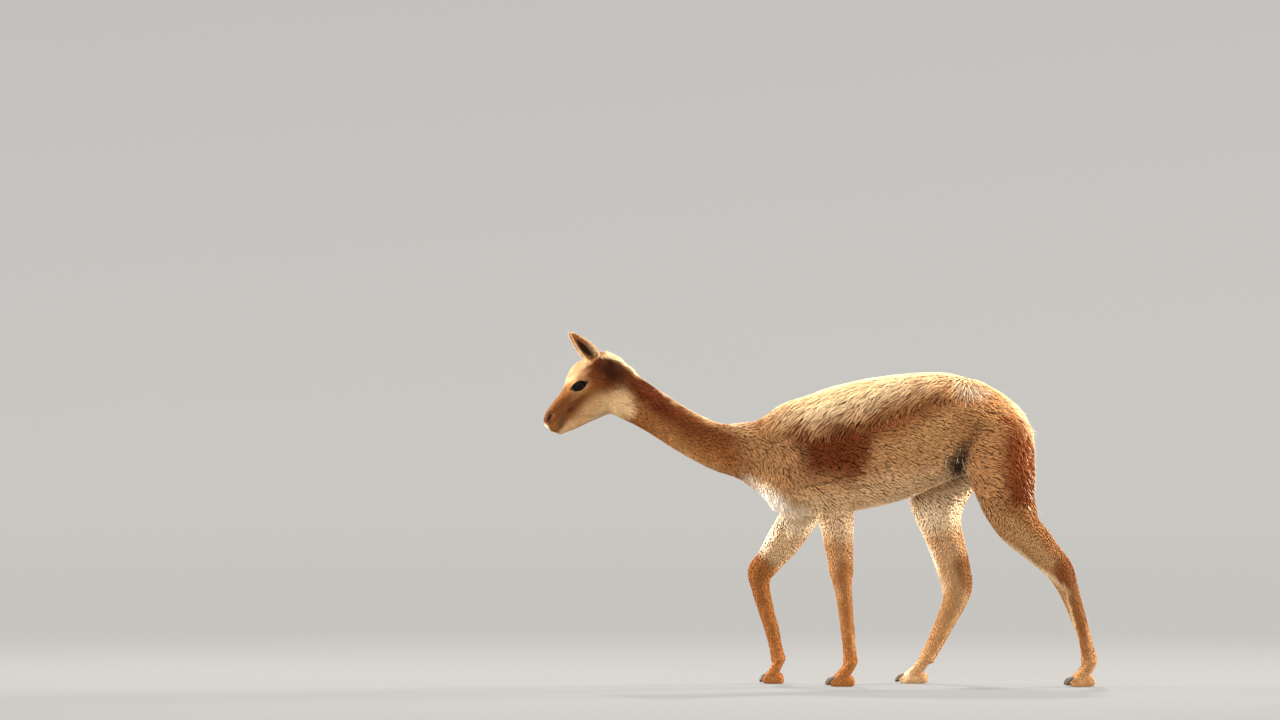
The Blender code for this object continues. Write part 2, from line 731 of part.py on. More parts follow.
def leg_plane(name, station):
    """The plane square to a leg at one of its stations, facing down the leg."""
    side = SIDES[name.split("_")[1]]
    rows = LEGS[name]
    x, z, out = rows[station][:3]
    above, below = rows[station - 1], rows[station + 1]
    facing = Vector((below[0] - above[0], 0, below[1] - above[1])).normalized()
    return (Vector((x, -side * out, z)), facing)


def fetlock_plane():
    return (Vector((0, 0, FETLOCK_HEIGHT)), Vector((0, 0, -1)))


def foot_matrix(place_name):
    x, out, turn, reach, set_back = FEET[place_name]
    side = SIDES[place_name.split("_")[1]]
    facing = Matrix.Rotation(math.pi + math.radians(turn) * side, 4, "Z")
    shape = Matrix.Diagonal((reach, 1, 1, 1))
    shape[0][2] = set_back / TOE_PATH[0][1]
    shape[0][3] = -set_back
    return Matrix.Translation((x, -side * out, 0)) @ facing @ shape


def toe_rows(path, shift):
    return [(forward, shift, height, depth, width)
            for forward, height, depth, width in curve_through(path, 4)]


def foot_meshes(place_name):
    meshes = []
    for shift in (-TOE_SPREAD, TOE_SPREAD):
        for path in (TOE_PATH, PAD_PATH):
            mesh = loft_along(toe_rows(path, shift), 20)
            mesh.transform(foot_matrix(place_name))
            meshes.append(mesh)
    return meshes


def nail_mesh(place_name, shift):
    mesh = loft_along(toe_rows(NAIL_PATH, shift)[::2], 10)
    mesh.transform(foot_matrix(place_name))
    return mesh


def make_feet():
    for place_name in FEET:
        end, side = place_name.split("_")
        leg_name = f"{end}leg_{side}"
        dense = fused([leg_loft(leg_name)] + foot_meshes(place_name), FOOT_VOXEL, 6)
        flat_sole = (Vector((0, 0, -FIT_GAP / 2)), Vector((0, 0, -1)))
        foot = carved(dense, [flat_sole, flipped(fetlock_plane())], TRIANGLES["foot"])
        bpy.data.meshes.remove(dense)
        sockets = [grown(nail_mesh(place_name, shift)) for shift in (-TOE_SPREAD, TOE_SPREAD)]
        foot = combined(foot, sockets)
        place(f"foot_{place_name}", foot, "coat_cream")
        for label, shift in (("inner", -TOE_SPREAD), ("outer", TOE_SPREAD)):
            nail = nail_mesh(place_name, shift * SIDES[side])
            place(f"nail_{place_name}_{label}", nail, "nail_dark")


def make_legs(dense):
    for name in LEGS:
        kind, side = name.split("_")
        middle = (Vector((0, 0, 0)), Vector((0, SIDES[side], 0)))
        top, limit = (
            (FORELEG_CUT, LEG_DIVIDE) if kind == "foreleg" else (HINDLEG_CUT, flipped(RUMP_CUT)))
        knee = leg_plane(name, KNEE_STATION[kind])
        upper = carved(dense, [flipped(top), middle, limit, knee], TRIANGLES["upper"])
        limit = LEG_DIVIDE if kind == "foreleg" else flipped(LEG_DIVIDE)
        lower = carved(
            dense, [flipped(knee), middle, limit, fetlock_plane()], TRIANGLES["lower"])
        place(f"{name}_upper", upper, "coat_gold")
        place(f"{name}_lower", lower, "coat_cream")


def tail_mesh():
    rows = [(x, 0.0, z, depth, width) for x, z, depth, width in curve_through(TAIL_PATH, 3)]
    return loft_along(rows, 20)


def eye_mesh(side, radius):
    """The front of an eyeball, cut flat behind its widest place."""
    bm = bmesh.new()
    bmesh.ops.create_icosphere(bm, subdivisions=3, radius=radius)
    slice_off(bm, Vector((0, -EYE_BACK, 0)), Vector((0, -1, 0)), fill=True)
    mesh = bpy.data.meshes.new("eye")
    bm.to_mesh(mesh)
    bm.free()
    return moved(mesh, head_matrix(side) @ Matrix.Translation(EYE_CENTRE))


def lid_cutter(side):
    """An almond-shaped prism that opens the lids over the eyeball."""
    length, height = EYE_OPENING
    count = 24
    rings = []
    for out in (EYE_CENTRE[1] - EYE_BACK, 0.060):
        ring = []
        for k in range(count):
            angle = 2 * math.pi * k / count
            along = math.cos(angle)
            rise = math.sin(angle) * (1 - 0.28 * abs(along) ** 3)
            ring.append(Vector((along * length, out, rise * height)))
        rings.append(ring)
    slant = Matrix.Rotation(-EYE_SLANT, 4, "Y")
    centre = Matrix.Translation((EYE_CENTRE[0], 0, EYE_CENTRE[2]))
    return moved(skin_rings(rings), head_matrix(side) @ centre @ slant)


def nostril_cutter(side):
    turn = Matrix.Rotation(NOSTRIL_TURN, 4, "Z") @ Matrix.Rotation(NOSTRIL_TILT, 4, "Y")
    return ellipsoid(*NOSTRIL, side, turn)


def mouth_cutter():
    """A thin curved blade along the line between the lips."""
    half_line = curve_through(MOUTH_LINE, 2)
    line = [Vector(row) for row in half_line]
    line += [Vector((row[0], -row[1], row[2])) for row in reversed(half_line[:-1])]
    rings = []
    for i, point in enumerate(line):
        run = (line[min(i + 1, len(line) - 1)] - line[max(i - 1, 0)]).normalized()
        inward = run.cross(Vector((0, 0, 1))).normalized()
        ring = []
        for k in range(8):
            angle = 2 * math.pi * k / 8
            rise = Vector((0, 0, MOUTH_GAPE * math.sin(angle)))
            ring.append(point + inward * (MOUTH_DEPTH * math.cos(angle)) + rise)
        rings.append(ring)
    return moved(skin_rings(rings), head_matrix())


def ear_matrix(side):
    """Ear frame to world: Z along the ear to its tip, X to its outer rim, Y to its hollow."""
    lean = Matrix.Rotation(EAR_LEAN, 4, "X")
    turn = Matrix.Rotation(EAR_TURN, 4, "Z")
    return head_matrix(side) @ Matrix.Translation(EAR_ROOT) @ lean @ turn


def ear_mesh(side):
    """A leaf-shaped cup that rises from an oval root sunk in the head."""
    rings = []
    count = 9
    for share, leaf in EAR_LEAF:
        half = EAR_HALF_WIDTH * leaf
        curl = EAR_CURL * (1 - 0.45 * share)
        radius = half / math.sin(curl)
        height = EAR_LENGTH * share
        hollow = ramp(share, 0.0, EAR_FILLED)
        wall = EAR_WALL * (1.3 - 0.7 * max(share, 0))
        bend = EAR_BEND * max(share, 0) ** 2
        back, front = [], []
        for k in range(count):
            angle = curl * (2 * k / (count - 1) - 1)
            x = radius * math.sin(angle)
            sag = radius * (math.cos(angle) - math.cos(curl))
            plug = 0.62 * math.sqrt(max(0.0, half ** 2 - x ** 2))
            cup = -sag + wall * (1.0 - 0.55 * (x / half) ** 2)
            back.append(Vector((x, bend - sag, height)))
            front.append(Vector((x * 0.985, bend + hollow * cup + (1 - hollow) * plug, height)))
        rings.append(back + list(reversed(front)))
    return moved(skin_rings(rings), ear_matrix(side))


def make_head():
    lid = EYE_RADIUS + LID_THICKNESS
    forms = [head_loft(), neck_loft(), ellipsoid(*CHIN)]
    for side in SIDES.values():
        for centre, radii in [(EYE_CENTRE, (lid, lid, lid))] + HEAD_FORMS:
            forms.append(ellipsoid(centre, radii, side))
    dense = fused(forms, HEAD_VOXEL, 8, head_softness, 30)
    head = carved(dense, [NECK_TOP_CUT], TRIANGLES["head"])
    bpy.data.meshes.remove(dense)
    cutters = []
    for side in SIDES.values():
        cutters.append(lid_cutter(side))
        cutters.append(eye_mesh(side, EYE_RADIUS + FIT_GAP))
        cutters.append(nostril_cutter(side))
        cutters.append(grown(ear_mesh(side), EAR_CLEARANCE))
    cutters.append(mouth_cutter())
    head = combined(head, cutters)
    place("head", head, "coat_gold")
    for label, side in SIDES.items():
        place(f"eye_{label}", eye_mesh(side, EYE_RADIUS), "eye_dark")
        place(f"ear_{label}", ear_mesh(side), "coat_gold")


def make_body():
    legs = [leg_loft(name, LEG_STUB) for name in LEGS]
    for place_name in FEET:
        legs.extend(foot_meshes(place_name))
    dense = fused(
        [trunk_loft(), neck_loft(), head_loft()] + legs, BODY_VOXEL, 6, body_softness, 60)
    place("neck", carved(
        dense, [flipped(NECK_TOP_CUT), NECK_ROOT_CUT], TRIANGLES["neck"]), "coat_gold")
    chest = carved(
        dense, [flipped(NECK_ROOT_CUT), CHEST_CUT, FORELEG_CUT], TRIANGLES["chest"])
    locks = bib_locks(surface_of(dense), random.Random(5))
    place("chest", combined(chest, locks, "UNION", "MANIFOLD"), "coat_gold")
    place("barrel", carved(
        dense, [flipped(CHEST_CUT), RUMP_CUT], TRIANGLES["barrel"]), "coat_gold")
    rump = carved(dense, [flipped(RUMP_CUT), HINDLEG_CUT], TRIANGLES["rump"])
    place("rump", combined(rump, [grown(tail_mesh(), TAIL_CLEARANCE)]), "coat_gold")
    make_legs(dense)
    bpy.data.meshes.remove(dense)


clear_scene()
make_body()
make_head()
place("tail", combined(tail_mesh(), tail_locks(random.Random(11)), "UNION", "MANIFOLD"), "coat_gold")
make_feet()
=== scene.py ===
import math

import bmesh
import bpy
import numpy as np
from mathutils import Matrix, Vector, noise
from mathutils.bvhtree import BVHTree
from mathutils.kdtree import KDTree


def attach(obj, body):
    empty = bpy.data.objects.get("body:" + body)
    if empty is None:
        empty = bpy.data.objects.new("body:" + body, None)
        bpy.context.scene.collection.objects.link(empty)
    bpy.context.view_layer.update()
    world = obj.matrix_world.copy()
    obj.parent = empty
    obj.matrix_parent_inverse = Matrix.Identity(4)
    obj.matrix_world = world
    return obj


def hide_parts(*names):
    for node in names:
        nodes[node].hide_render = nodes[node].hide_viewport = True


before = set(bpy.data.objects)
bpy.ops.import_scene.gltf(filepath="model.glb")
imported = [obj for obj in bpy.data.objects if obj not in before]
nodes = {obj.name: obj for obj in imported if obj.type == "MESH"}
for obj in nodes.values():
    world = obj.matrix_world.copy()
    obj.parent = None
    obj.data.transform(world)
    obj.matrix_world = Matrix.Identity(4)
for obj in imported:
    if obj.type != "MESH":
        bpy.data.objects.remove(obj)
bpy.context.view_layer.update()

# A vicuna that walks with its head low. Metres, +Z up; it faces -X and its left side faces -Y.
print("frame:", len(nodes), "solids")

photo = {
    "size": (1280, 720),
    "metresPerPixel": 0.0029,       # at the middle of the animal
    "floorRow": 685,                # pixel row of the soles
    "middleColumn": 819.483,        # pixel column of the middle of the animal
    "distance": 14.0,
    "sensor": 36.0,
}


def makeCamera():
    columns, rows = photo["size"]
    scale = photo["metresPerPixel"]
    data = bpy.data.cameras.new("camera")
    data.sensor_width = photo["sensor"]
    data.lens = photo["sensor"] * photo["distance"] / (columns * scale)
    data.clip_end = 300
    camera = bpy.data.objects.new("camera", data)
    x = (columns / 2 - photo["middleColumn"]) * scale
    z = (photo["floorRow"] - rows / 2) * scale
    camera.location = (x, -photo["distance"], z)
    camera.rotation_euler = (math.pi / 2, 0, 0)
    bpy.context.scene.collection.objects.link(camera)
    bpy.context.scene.camera = camera


makeCamera()
print("camera")

# Rows of the flesh's own form, out to the tips of the coat; the coat's depth is taken off later
body = {
    "voxel": 0.0045,
    "passes": (6, 60),                  # smoothing everywhere, and once more where it is soft
    "shift": -0.0101,                   # along X, from the rows below to the frame
    # X, top, bottom, half width
    "trunk": [
        (-0.180, 0.752, 0.577, 0.060), (-0.150, 0.775, 0.539, 0.080),
        (-0.096, 0.813, 0.500, 0.101), (-0.032, 0.834, 0.490, 0.117),
        (0.055, 0.864, 0.497, 0.130), (0.162, 0.887, 0.514, 0.139),
        (0.270, 0.900, 0.543, 0.140), (0.360, 0.904, 0.583, 0.133),
        (0.438, 0.891, 0.612, 0.122), (0.505, 0.866, 0.630, 0.106),
        (0.560, 0.830, 0.642, 0.080), (0.590, 0.795, 0.668, 0.046),
    ],
    # X, Z, half height, half width
    "neck": [
        (-0.600, 0.880, 0.068, 0.044), (-0.584, 0.866, 0.074, 0.048),
        (-0.551, 0.840, 0.068, 0.047), (-0.466, 0.790, 0.060, 0.047),
        (-0.377, 0.734, 0.061, 0.050), (-0.287, 0.692, 0.068, 0.055),
        (-0.200, 0.678, 0.088, 0.066), (-0.119, 0.662, 0.115, 0.082),
        (-0.040, 0.660, 0.130, 0.090),
    ],
    # X, Z, half depth, half width
    "tail": [
        (0.548, 0.818, 0.016, 0.020), (0.577, 0.803, 0.017, 0.025),
        (0.602, 0.770, 0.017, 0.030), (0.614, 0.725, 0.016, 0.033),
        (0.618, 0.675, 0.015, 0.033), (0.616, 0.625, 0.013, 0.028),
        (0.612, 0.585, 0.010, 0.020), (0.610, 0.562, 0.005, 0.008),
    ],
    "thighLevel": (0.46, 0.54),         # heights between which a thigh's sections turn level
    "slimTail": 0.72,                   # the flesh of the tail, as a share of the form above
    "neckCut": (-0.560, 0.862),         # X and Z where the head's finer skin begins
    "cutFacing": (0.90, 0, -0.43),
    "cutGap": 0.0012,                   # left on each side of a cut, and bridged afterwards
}

# X, Z, distance from the middle, half depth, half width, from inside the body to the fetlock
legs = {
    "foreRight": [
        (-0.020, 0.700, 0.062, 0.075, 0.046), (-0.015, 0.610, 0.070, 0.072, 0.052),
        (-0.020, 0.540, 0.072, 0.066, 0.047), (-0.048, 0.484, 0.070, 0.055, 0.039),
        (-0.093, 0.415, 0.066, 0.050, 0.033), (-0.131, 0.362, 0.064, 0.040, 0.029),
        (-0.160, 0.325, 0.063, 0.038, 0.029), (-0.160, 0.284, 0.063, 0.028, 0.025),
        (-0.144, 0.217, 0.062, 0.0235, 0.021), (-0.127, 0.160, 0.061, 0.0215, 0.020),
        (-0.115, 0.107, 0.060, 0.0195, 0.019), (-0.107, 0.070, 0.060, 0.022, 0.021),
    ],
    "foreLeft": [
        (-0.020, 0.700, 0.062, 0.075, 0.046), (0.005, 0.610, 0.071, 0.070, 0.052),
        (0.040, 0.545, 0.073, 0.062, 0.047), (0.056, 0.484, 0.072, 0.052, 0.040),
        (0.062, 0.420, 0.068, 0.043, 0.033), (0.068, 0.368, 0.065, 0.037, 0.029),
        (0.071, 0.332, 0.064, 0.036, 0.029), (0.075, 0.290, 0.064, 0.027, 0.025),
        (0.083, 0.220, 0.063, 0.0225, 0.021), (0.090, 0.155, 0.062, 0.0205, 0.020),
        (0.095, 0.104, 0.061, 0.0195, 0.019), (0.098, 0.070, 0.060, 0.022, 0.021),
    ],
    "hindRight": [
        (0.485, 0.790, 0.038, 0.045, 0.030), (0.484, 0.745, 0.058, 0.078, 0.045),
        (0.468, 0.690, 0.072, 0.104, 0.055), (0.425, 0.620, 0.083, 0.112, 0.056),
        (0.362, 0.545, 0.086, 0.089, 0.050), (0.360, 0.492, 0.083, 0.069, 0.044),
        (0.371, 0.445, 0.081, 0.057, 0.039), (0.388, 0.390, 0.078, 0.053, 0.034),
        (0.405, 0.330, 0.074, 0.049, 0.031), (0.414, 0.284, 0.072, 0.045, 0.030),
        (0.406, 0.238, 0.070, 0.036, 0.026), (0.384, 0.189, 0.069, 0.030, 0.023),
        (0.356, 0.131, 0.068, 0.0255, 0.022), (0.334, 0.089, 0.067, 0.0225, 0.022),
        (0.324, 0.070, 0.067, 0.0225, 0.022),
    ],
    "hindLeft": [
        (0.515, 0.800, 0.040, 0.050, 0.030), (0.527, 0.755, 0.062, 0.092, 0.050),
        (0.530, 0.700, 0.076, 0.098, 0.057), (0.530, 0.625, 0.084, 0.100, 0.056),
        (0.542, 0.550, 0.086, 0.085, 0.050), (0.563, 0.499, 0.084, 0.073, 0.044),
        (0.588, 0.455, 0.082, 0.060, 0.040), (0.626, 0.418, 0.079, 0.053, 0.036),
        (0.664, 0.377, 0.076, 0.045, 0.032), (0.701, 0.336, 0.073, 0.040, 0.030),
        (0.723, 0.288, 0.071, 0.031, 0.027), (0.741, 0.240, 0.070, 0.0255, 0.024),
        (0.757, 0.192, 0.069, 0.0225, 0.022), (0.774, 0.136, 0.068, 0.0195, 0.020),
        (0.784, 0.090, 0.067, 0.0225, 0.021), (0.787, 0.068, 0.067, 0.024, 0.023),
    ],
}
sides = {"Left": 1.0, "Right": -1.0}

feet = {
    "voxel": 0.0024,
    "passes": 6,
    "cutHeight": 0.082,                 # where a foot joins its leg
    "cuffRadius": 0.05,                 # the cut's rim lies within this distance of its centre
    "soleHeight": 0.0002,               # where the soles are cut flat
    "spread": 0.0118,                   # distance of each toe from the foot's middle
    # forward, height, half depth, half width
    "toe": [
        (-0.004, 0.074, 0.0165, 0.0110), (0.010, 0.054, 0.0170, 0.0118),
        (0.026, 0.036, 0.0165, 0.0118), (0.046, 0.022, 0.0140, 0.0116),
        (0.062, 0.015, 0.0115, 0.0106), (0.073, 0.011, 0.0080, 0.0080),
    ],
    "pad": [
        (-0.008, 0.016, 0.0100, 0.0085), (0.001, 0.0155, 0.0160, 0.0122),
        (0.018, 0.014, 0.0160, 0.0135), (0.042, 0.012, 0.0138, 0.0128),
        (0.060, 0.010, 0.0105, 0.0104), (0.071, 0.009, 0.0070, 0.0070),
    ],
    "nail": [
        (0.054, 0.0265, 0.0040, 0.0070), (0.066, 0.0205, 0.0075, 0.0078),
        (0.076, 0.0125, 0.0075, 0.0062), (0.0835, 0.0068, 0.0034, 0.0030),
    ],
    # X, distance from the middle, degrees turned outward, reach, how far the sole is set back
    "places": {
        "foreRight": (-0.105, 0.060, 6, 0.76, 0.008), "foreLeft": (0.099, 0.060, 6, 0.90, 0.002),
        "hindRight": (0.319, 0.067, 8, 1.02, 0.000), "hindLeft": (0.788, 0.067, 8, 0.92, 0.004),
    },
}

# The head's own frame: along the muzzle, out to the side, up to the forehead
head = {
    "voxel": 0.0024,
    "passes": (11, 41),
    "origin": (-0.612, 0.0, 0.899),
    "pitch": math.radians(40.6),
    "yaw": math.radians(9.0),
    # along, top, jaw, half width at the top, half width at the jaw
    "rows": [
        (-0.066, 0.012, -0.020, 0.020, 0.020), (-0.060, 0.025, -0.045, 0.034, 0.034),
        (-0.049, 0.044, -0.060, 0.041, 0.040), (-0.034, 0.059, -0.075, 0.045, 0.043),
        (0.000, 0.071, -0.092, 0.048, 0.045), (0.030, 0.079, -0.100, 0.050, 0.046),
        (0.055, 0.080, -0.098, 0.050, 0.045), (0.081, 0.072, -0.088, 0.044, 0.041),
        (0.105, 0.058, -0.081, 0.036, 0.036), (0.130, 0.046, -0.073, 0.030, 0.031),
        (0.155, 0.042, -0.066, 0.026, 0.028), (0.180, 0.037, -0.058, 0.025, 0.026),
        (0.200, 0.031, -0.049, 0.025, 0.024), (0.216, 0.023, -0.036, 0.022, 0.020),
        (0.227, 0.010, -0.018, 0.015, 0.014),
    ],
    # centre and half sizes of rounded forms on each half
    "forms": {
        "brow": ((0.074, 0.0265, 0.038), (0.044, 0.0195, 0.024)),
        "cheek": ((0.060, 0.026, -0.030), (0.066, 0.019, 0.050)),
        "muzzle": ((0.118, 0.014, -0.004), (0.062, 0.017, 0.030)),
        "upperLip": ((0.207, 0.009, -0.001), (0.023, 0.016, 0.018)),
        "underEar": ((-0.006, 0.029, 0.034), (0.028, 0.020, 0.034)),
        "earRoot": ((-0.005, 0.035, 0.048), (0.015, 0.015, 0.018)),
    },
    "chin": ((0.196, 0.0, -0.036), (0.020, 0.017, 0.015)),
    "nostril": ((0.204, 0.0205, 0.013), (0.0112, 0.0080, 0.0032)),
    "nostrilTurn": (math.radians(-14), math.radians(24)),
    "nostrilBare": (0.016, 0.012, 0.009),   # half sizes of the hairless skin round it
    # the line of the mouth, from its corner to the middle of the lips
    "mouth": [
        (0.168, 0.0262, -0.0195), (0.185, 0.0250, -0.0170), (0.200, 0.0235, -0.0160),
        (0.212, 0.0200, -0.0155), (0.221, 0.0130, -0.0150), (0.2250, 0.0, -0.0148),
    ],
    "mouthDepth": 0.0042,
    "mouthGape": 0.0010,
}

eye = {
    "centre": (0.0835, 0.0345, 0.030),
    "radius": 0.0205,
    "back": 0.004,                      # how far behind its widest place it is cut flat
    "lid": 0.0026,
    "clearance": 0.0003,
    "opening": (0.0200, 0.0130),        # half length and half height between the lids
    "almond": 0.28,                     # how much lower the opening is towards its corners
    "outside": 0.060,                   # a distance to the side that lies off the head
    "slant": math.radians(16),
    "rim": (0.0248, 0.0146),            # half sizes of the dark bare skin around it
}

ear = {
    "root": (-0.005, 0.037, 0.047),
    "length": 0.1115,
    "halfWidth": 0.0223,
    "wall": 0.0030,
    "curl": math.radians(68),
    "lean": math.radians(7),
    "turn": math.radians(-30),          # how far the hollow is turned from outward to forward
    "bend": 0.006,
    "filled": 0.16,
    # half sizes across, and where it begins and ends along the ear: of the hollow, of the ear's hair
    "hollowBox": (0.026, 0.022, -0.004, 1.02),
    "hairBox": (0.028, 0.026, (0.004, 0.016), (0.125, 0.118)),
    # share of the length, share of the half width
    "leaf": [
        (-0.14, 0.50), (0.00, 0.64), (0.08, 0.78), (0.18, 0.92), (0.30, 1.00), (0.44, 0.98),
        (0.58, 0.87), (0.71, 0.70), (0.83, 0.49), (0.93, 0.27), (1.00, 0.10),
    ],
}


def ramp(value, low, high):
    return max(0.0, min(1.0, (value - low) / (high - low)))


def curveThrough(stations, steps):      # rows of numbers on a smooth curve through the rows
    rows = []
    last = len(stations) - 1
    for i in range(last):
        corners = [stations[k] for k in (max(i - 1, 0), i, i + 1, min(i + 2, last))]
        for step in range(steps):
            t = step / steps
            rows.append([
                0.5 * (2 * b + (c - a) * t + (2 * a - 5 * b + 4 * c - d) * t ** 2
                       + (3 * b - a - 3 * c + d) * t ** 3)
                for a, b, c, d in zip(*corners)
            ])
    rows.append(list(stations[last]))
    return rows


def superellipse(angle, power):
    c, s = math.cos(angle), math.sin(angle)
    return math.copysign(abs(c) ** (2 / power), c), math.copysign(abs(s) ** (2 / power), s)


def meshFrom(bm, name="shape"):
    mesh = bpy.data.meshes.new(name)
    bm.to_mesh(mesh)
    bm.free()
    return mesh


def skinRings(rings):                   # closed mesh from rings of points, each end filled
    bm = bmesh.new()
    loops = [[bm.verts.new(point) for point in ring] for ring in rings]
    count = len(loops[0])
    for near, far in zip(loops, loops[1:]):
        for i in range(count):
            j = (i + 1) % count
            bm.faces.new((near[i], near[j], far[j], far[i]))
    bm.faces.new(list(reversed(loops[0])))
    bm.faces.new(loops[-1])
    bmesh.ops.triangulate(bm, faces=bm.faces)
    bmesh.ops.recalc_face_normals(bm, faces=bm.faces)
    return meshFrom(bm)


def loftAlong(rows, count=32, power=2.2, level=None, shift=0.0):
    # sections square to a path of X, Y, Z, half depth, half width; level turns them horizontal
    rings = []
    for i, (x, y, z, depth, width) in enumerate(rows):
        ahead, behind = rows[min(i + 1, len(rows) - 1)], rows[max(i - 1, 0)]
        run = Vector((ahead[0] - behind[0], 0, ahead[2] - behind[2])).normalized()
        across = Vector((-run.z, 0, run.x))
        if level:
            across = across.lerp(Vector((1, 0, 0)), ramp(z, *level)).normalized()
        ring = []
        for k in range(count):
            c, s = superellipse(2 * math.pi * k / count, power)
            ring.append(Vector((x + shift, y, z)) + across * (depth * c) + Vector((0, width * s, 0)))
        rings.append(ring)
    return skinRings(rings)


def trunkLoft():
    rings = []
    for x, top, bottom, width in curveThrough(body["trunk"], 5):
        middle, half = (top + bottom) / 2, (top - bottom) / 2
        ring = []
        for k in range(48):
            c, s = superellipse(2 * math.pi * k / 48, 2.25)
            ring.append(Vector((x + body["shift"], width * c, middle + half * s)))
        rings.append(ring)
    return skinRings(rings)


def pathLoft(stations, count=32):
    rows = [(x, 0.0, z, depth, width) for x, z, depth, width in curveThrough(stations, 5)]
    return loftAlong(rows, count, shift=body["shift"])


def sideOf(name):
    return sides["Left" if name.endswith("Left") else "Right"]


def legLoft(name, first=0):
    rows = [(x, -sideOf(name) * out, z, depth, width)
            for x, z, out, depth, width in curveThrough(legs[name][first:], 5)]
    (x, y, z, depth, width), before = rows[-1], rows[-2]
    rows.append((4 * x - 3 * before[0], y, 4 * z - 3 * before[2], depth * 0.6, width * 0.6))
    level = body["thighLevel"] if name.startswith("hind") else None
    return loftAlong(rows, level=level, shift=body["shift"])


def headMatrix(side=1.0):               # head frame to world, mirrored for the right half
    pitch = head["pitch"]
    axes = Matrix((
        (-math.cos(pitch), 0, -math.sin(pitch)), (0, -1, 0), (-math.sin(pitch), 0, math.cos(pitch)),
    )).transposed().to_4x4()
    origin = Vector(head["origin"]) + Vector((body["shift"], 0, 0))
    turn = Matrix.Rotation(head["yaw"], 4, "Z")
    return Matrix.Translation(origin) @ turn @ axes @ Matrix.Diagonal((1, side, 1, 1))


def moved(mesh, matrix):
    mesh.transform(matrix)
    if matrix.determinant() < 0:
        mesh.flip_normals()
    return mesh


def headLoft():
    rings = []
    for along, top, jaw, wideTop, wideJaw in curveThrough(head["rows"], 4):
        ring = []
        widest = jaw + 0.56 * (top - jaw)
        for k in range(40):
            c, s = superellipse(2 * math.pi * k / 40, 2.15)
            if s >= 0:
                ring.append(Vector((along, wideTop * c, widest + (top - widest) * s)))
            else:
                half = wideTop - (wideJaw - wideTop) * s
                ring.append(Vector((along, half * c, widest + (widest - jaw) * s)))
        rings.append(ring)
    return moved(skinRings(rings), headMatrix())


def ellipsoid(centre, radii, side=1.0, turn=Matrix()):      # in the head frame
    bm = bmesh.new()
    bmesh.ops.create_icosphere(bm, subdivisions=4, radius=1.0)
    shape = turn @ Matrix.Diagonal((*radii, 1.0))
    return moved(meshFrom(bm), headMatrix(side) @ Matrix.Translation(centre) @ shape)


def footMatrix(name):
    x, out, turn, reach, setBack = feet["places"][name]
    facing = Matrix.Rotation(math.pi + math.radians(turn) * sideOf(name), 4, "Z")
    shape = Matrix.Diagonal((reach, 1, 1, 1))
    shape[0][2] = setBack / feet["toe"][0][1]
    shape[0][3] = -setBack
    return Matrix.Translation((x + body["shift"], -sideOf(name) * out, 0)) @ facing @ shape


def toeLoft(name, path, shift, count=24):
    rows = [(forward, shift, height, depth, width)
            for forward, height, depth, width in curveThrough(feet[path], 4)]
    return moved(loftAlong(rows, count), footMatrix(name))


def footParts(name):
    return [toeLoft(name, path, shift) for shift in (-feet["spread"], feet["spread"])
            for path in ("toe", "pad")]


def place(name, mesh):
    piece = bpy.data.objects.new(name, mesh)
    bpy.context.scene.collection.objects.link(piece)
    return piece


def evaluated(holder):                  # the holder's mesh with its modifiers; the holder goes
    bpy.context.view_layer.update()
    graph = bpy.context.evaluated_depsgraph_get()
    mesh = bpy.data.meshes.new_from_object(holder.evaluated_get(graph), depsgraph=graph)
    bpy.data.objects.remove(holder, do_unlink=True)
    return mesh


def fused(meshes, voxel, passes, soft=None, softPasses=0):
    bm = bmesh.new()
    for mesh in meshes:
        bm.from_mesh(mesh)
    holder = place("holder", meshFrom(bm))
    remesh = holder.modifiers.new("remesh", "REMESH")
    remesh.mode = "VOXEL"
    remesh.voxel_size = voxel
    holder = place("holder", evaluated(holder))
    smooth = holder.modifiers.new("smooth", "SMOOTH")
    smooth.factor = 0.5
    smooth.iterations = passes
    if soft:
        group = holder.vertex_groups.new(name="soft")
        for vert in holder.data.vertices:
            group.add([vert.index], min(soft(vert.co), 1.0), "REPLACE")
        blend = holder.modifiers.new("blend", "SMOOTH")
        blend.factor = 0.5
        blend.iterations = softPasses
        blend.vertex_group = "soft"
    return evaluated(holder)


def bodySoftness(point):                # full on the trunk and behind the skull
    x = point.x - body["shift"]
    low = 0.40 + 0.10 * ramp(x, 0.20, 0.30)
    trunk = ramp(point.z, low, low + 0.12) * ramp(x, -0.30, -0.16)
    return max(trunk, 0.7 * ramp(x, -0.50, -0.56))


def headSoftness(point):                # grows towards the neck, the eyes and the ears
    weight = ramp(point.x - body["shift"], -0.62, -0.57)
    for side in sides.values():
        toWorld = headMatrix(side)
        fromEye = (toWorld @ Vector(eye["centre"]) - point).length
        fromEar = (toWorld @ Vector(ear["root"]) - point).length
        weight = max(weight, 0.6 - ramp(fromEye, 0.025, 0.06), 1 - ramp(fromEar, 0.03, 0.055))
    return weight


def vertexRows(mesh, kind):             # places ("co") or normals ("normal") of its points
    found = np.empty(len(mesh.vertices) * 3)
    mesh.vertices.foreach_get(kind, found)
    return found.reshape(-1, 3)


# Depth of the coat in metres: the least of what the height and the place along the animal allow
coatDepth = {
    "height": ([0.0, 0.08, 0.20, 0.36, 0.46, 0.56], [0.0008, 0.0016, 0.0026, 0.0040, 0.0075, 0.0130]),
    "along": ([-0.80, -0.70, -0.64, -0.57, -0.35, -0.18], [0.0008, 0.0018, 0.0036, 0.0070, 0.0080, 0.0130]),
}


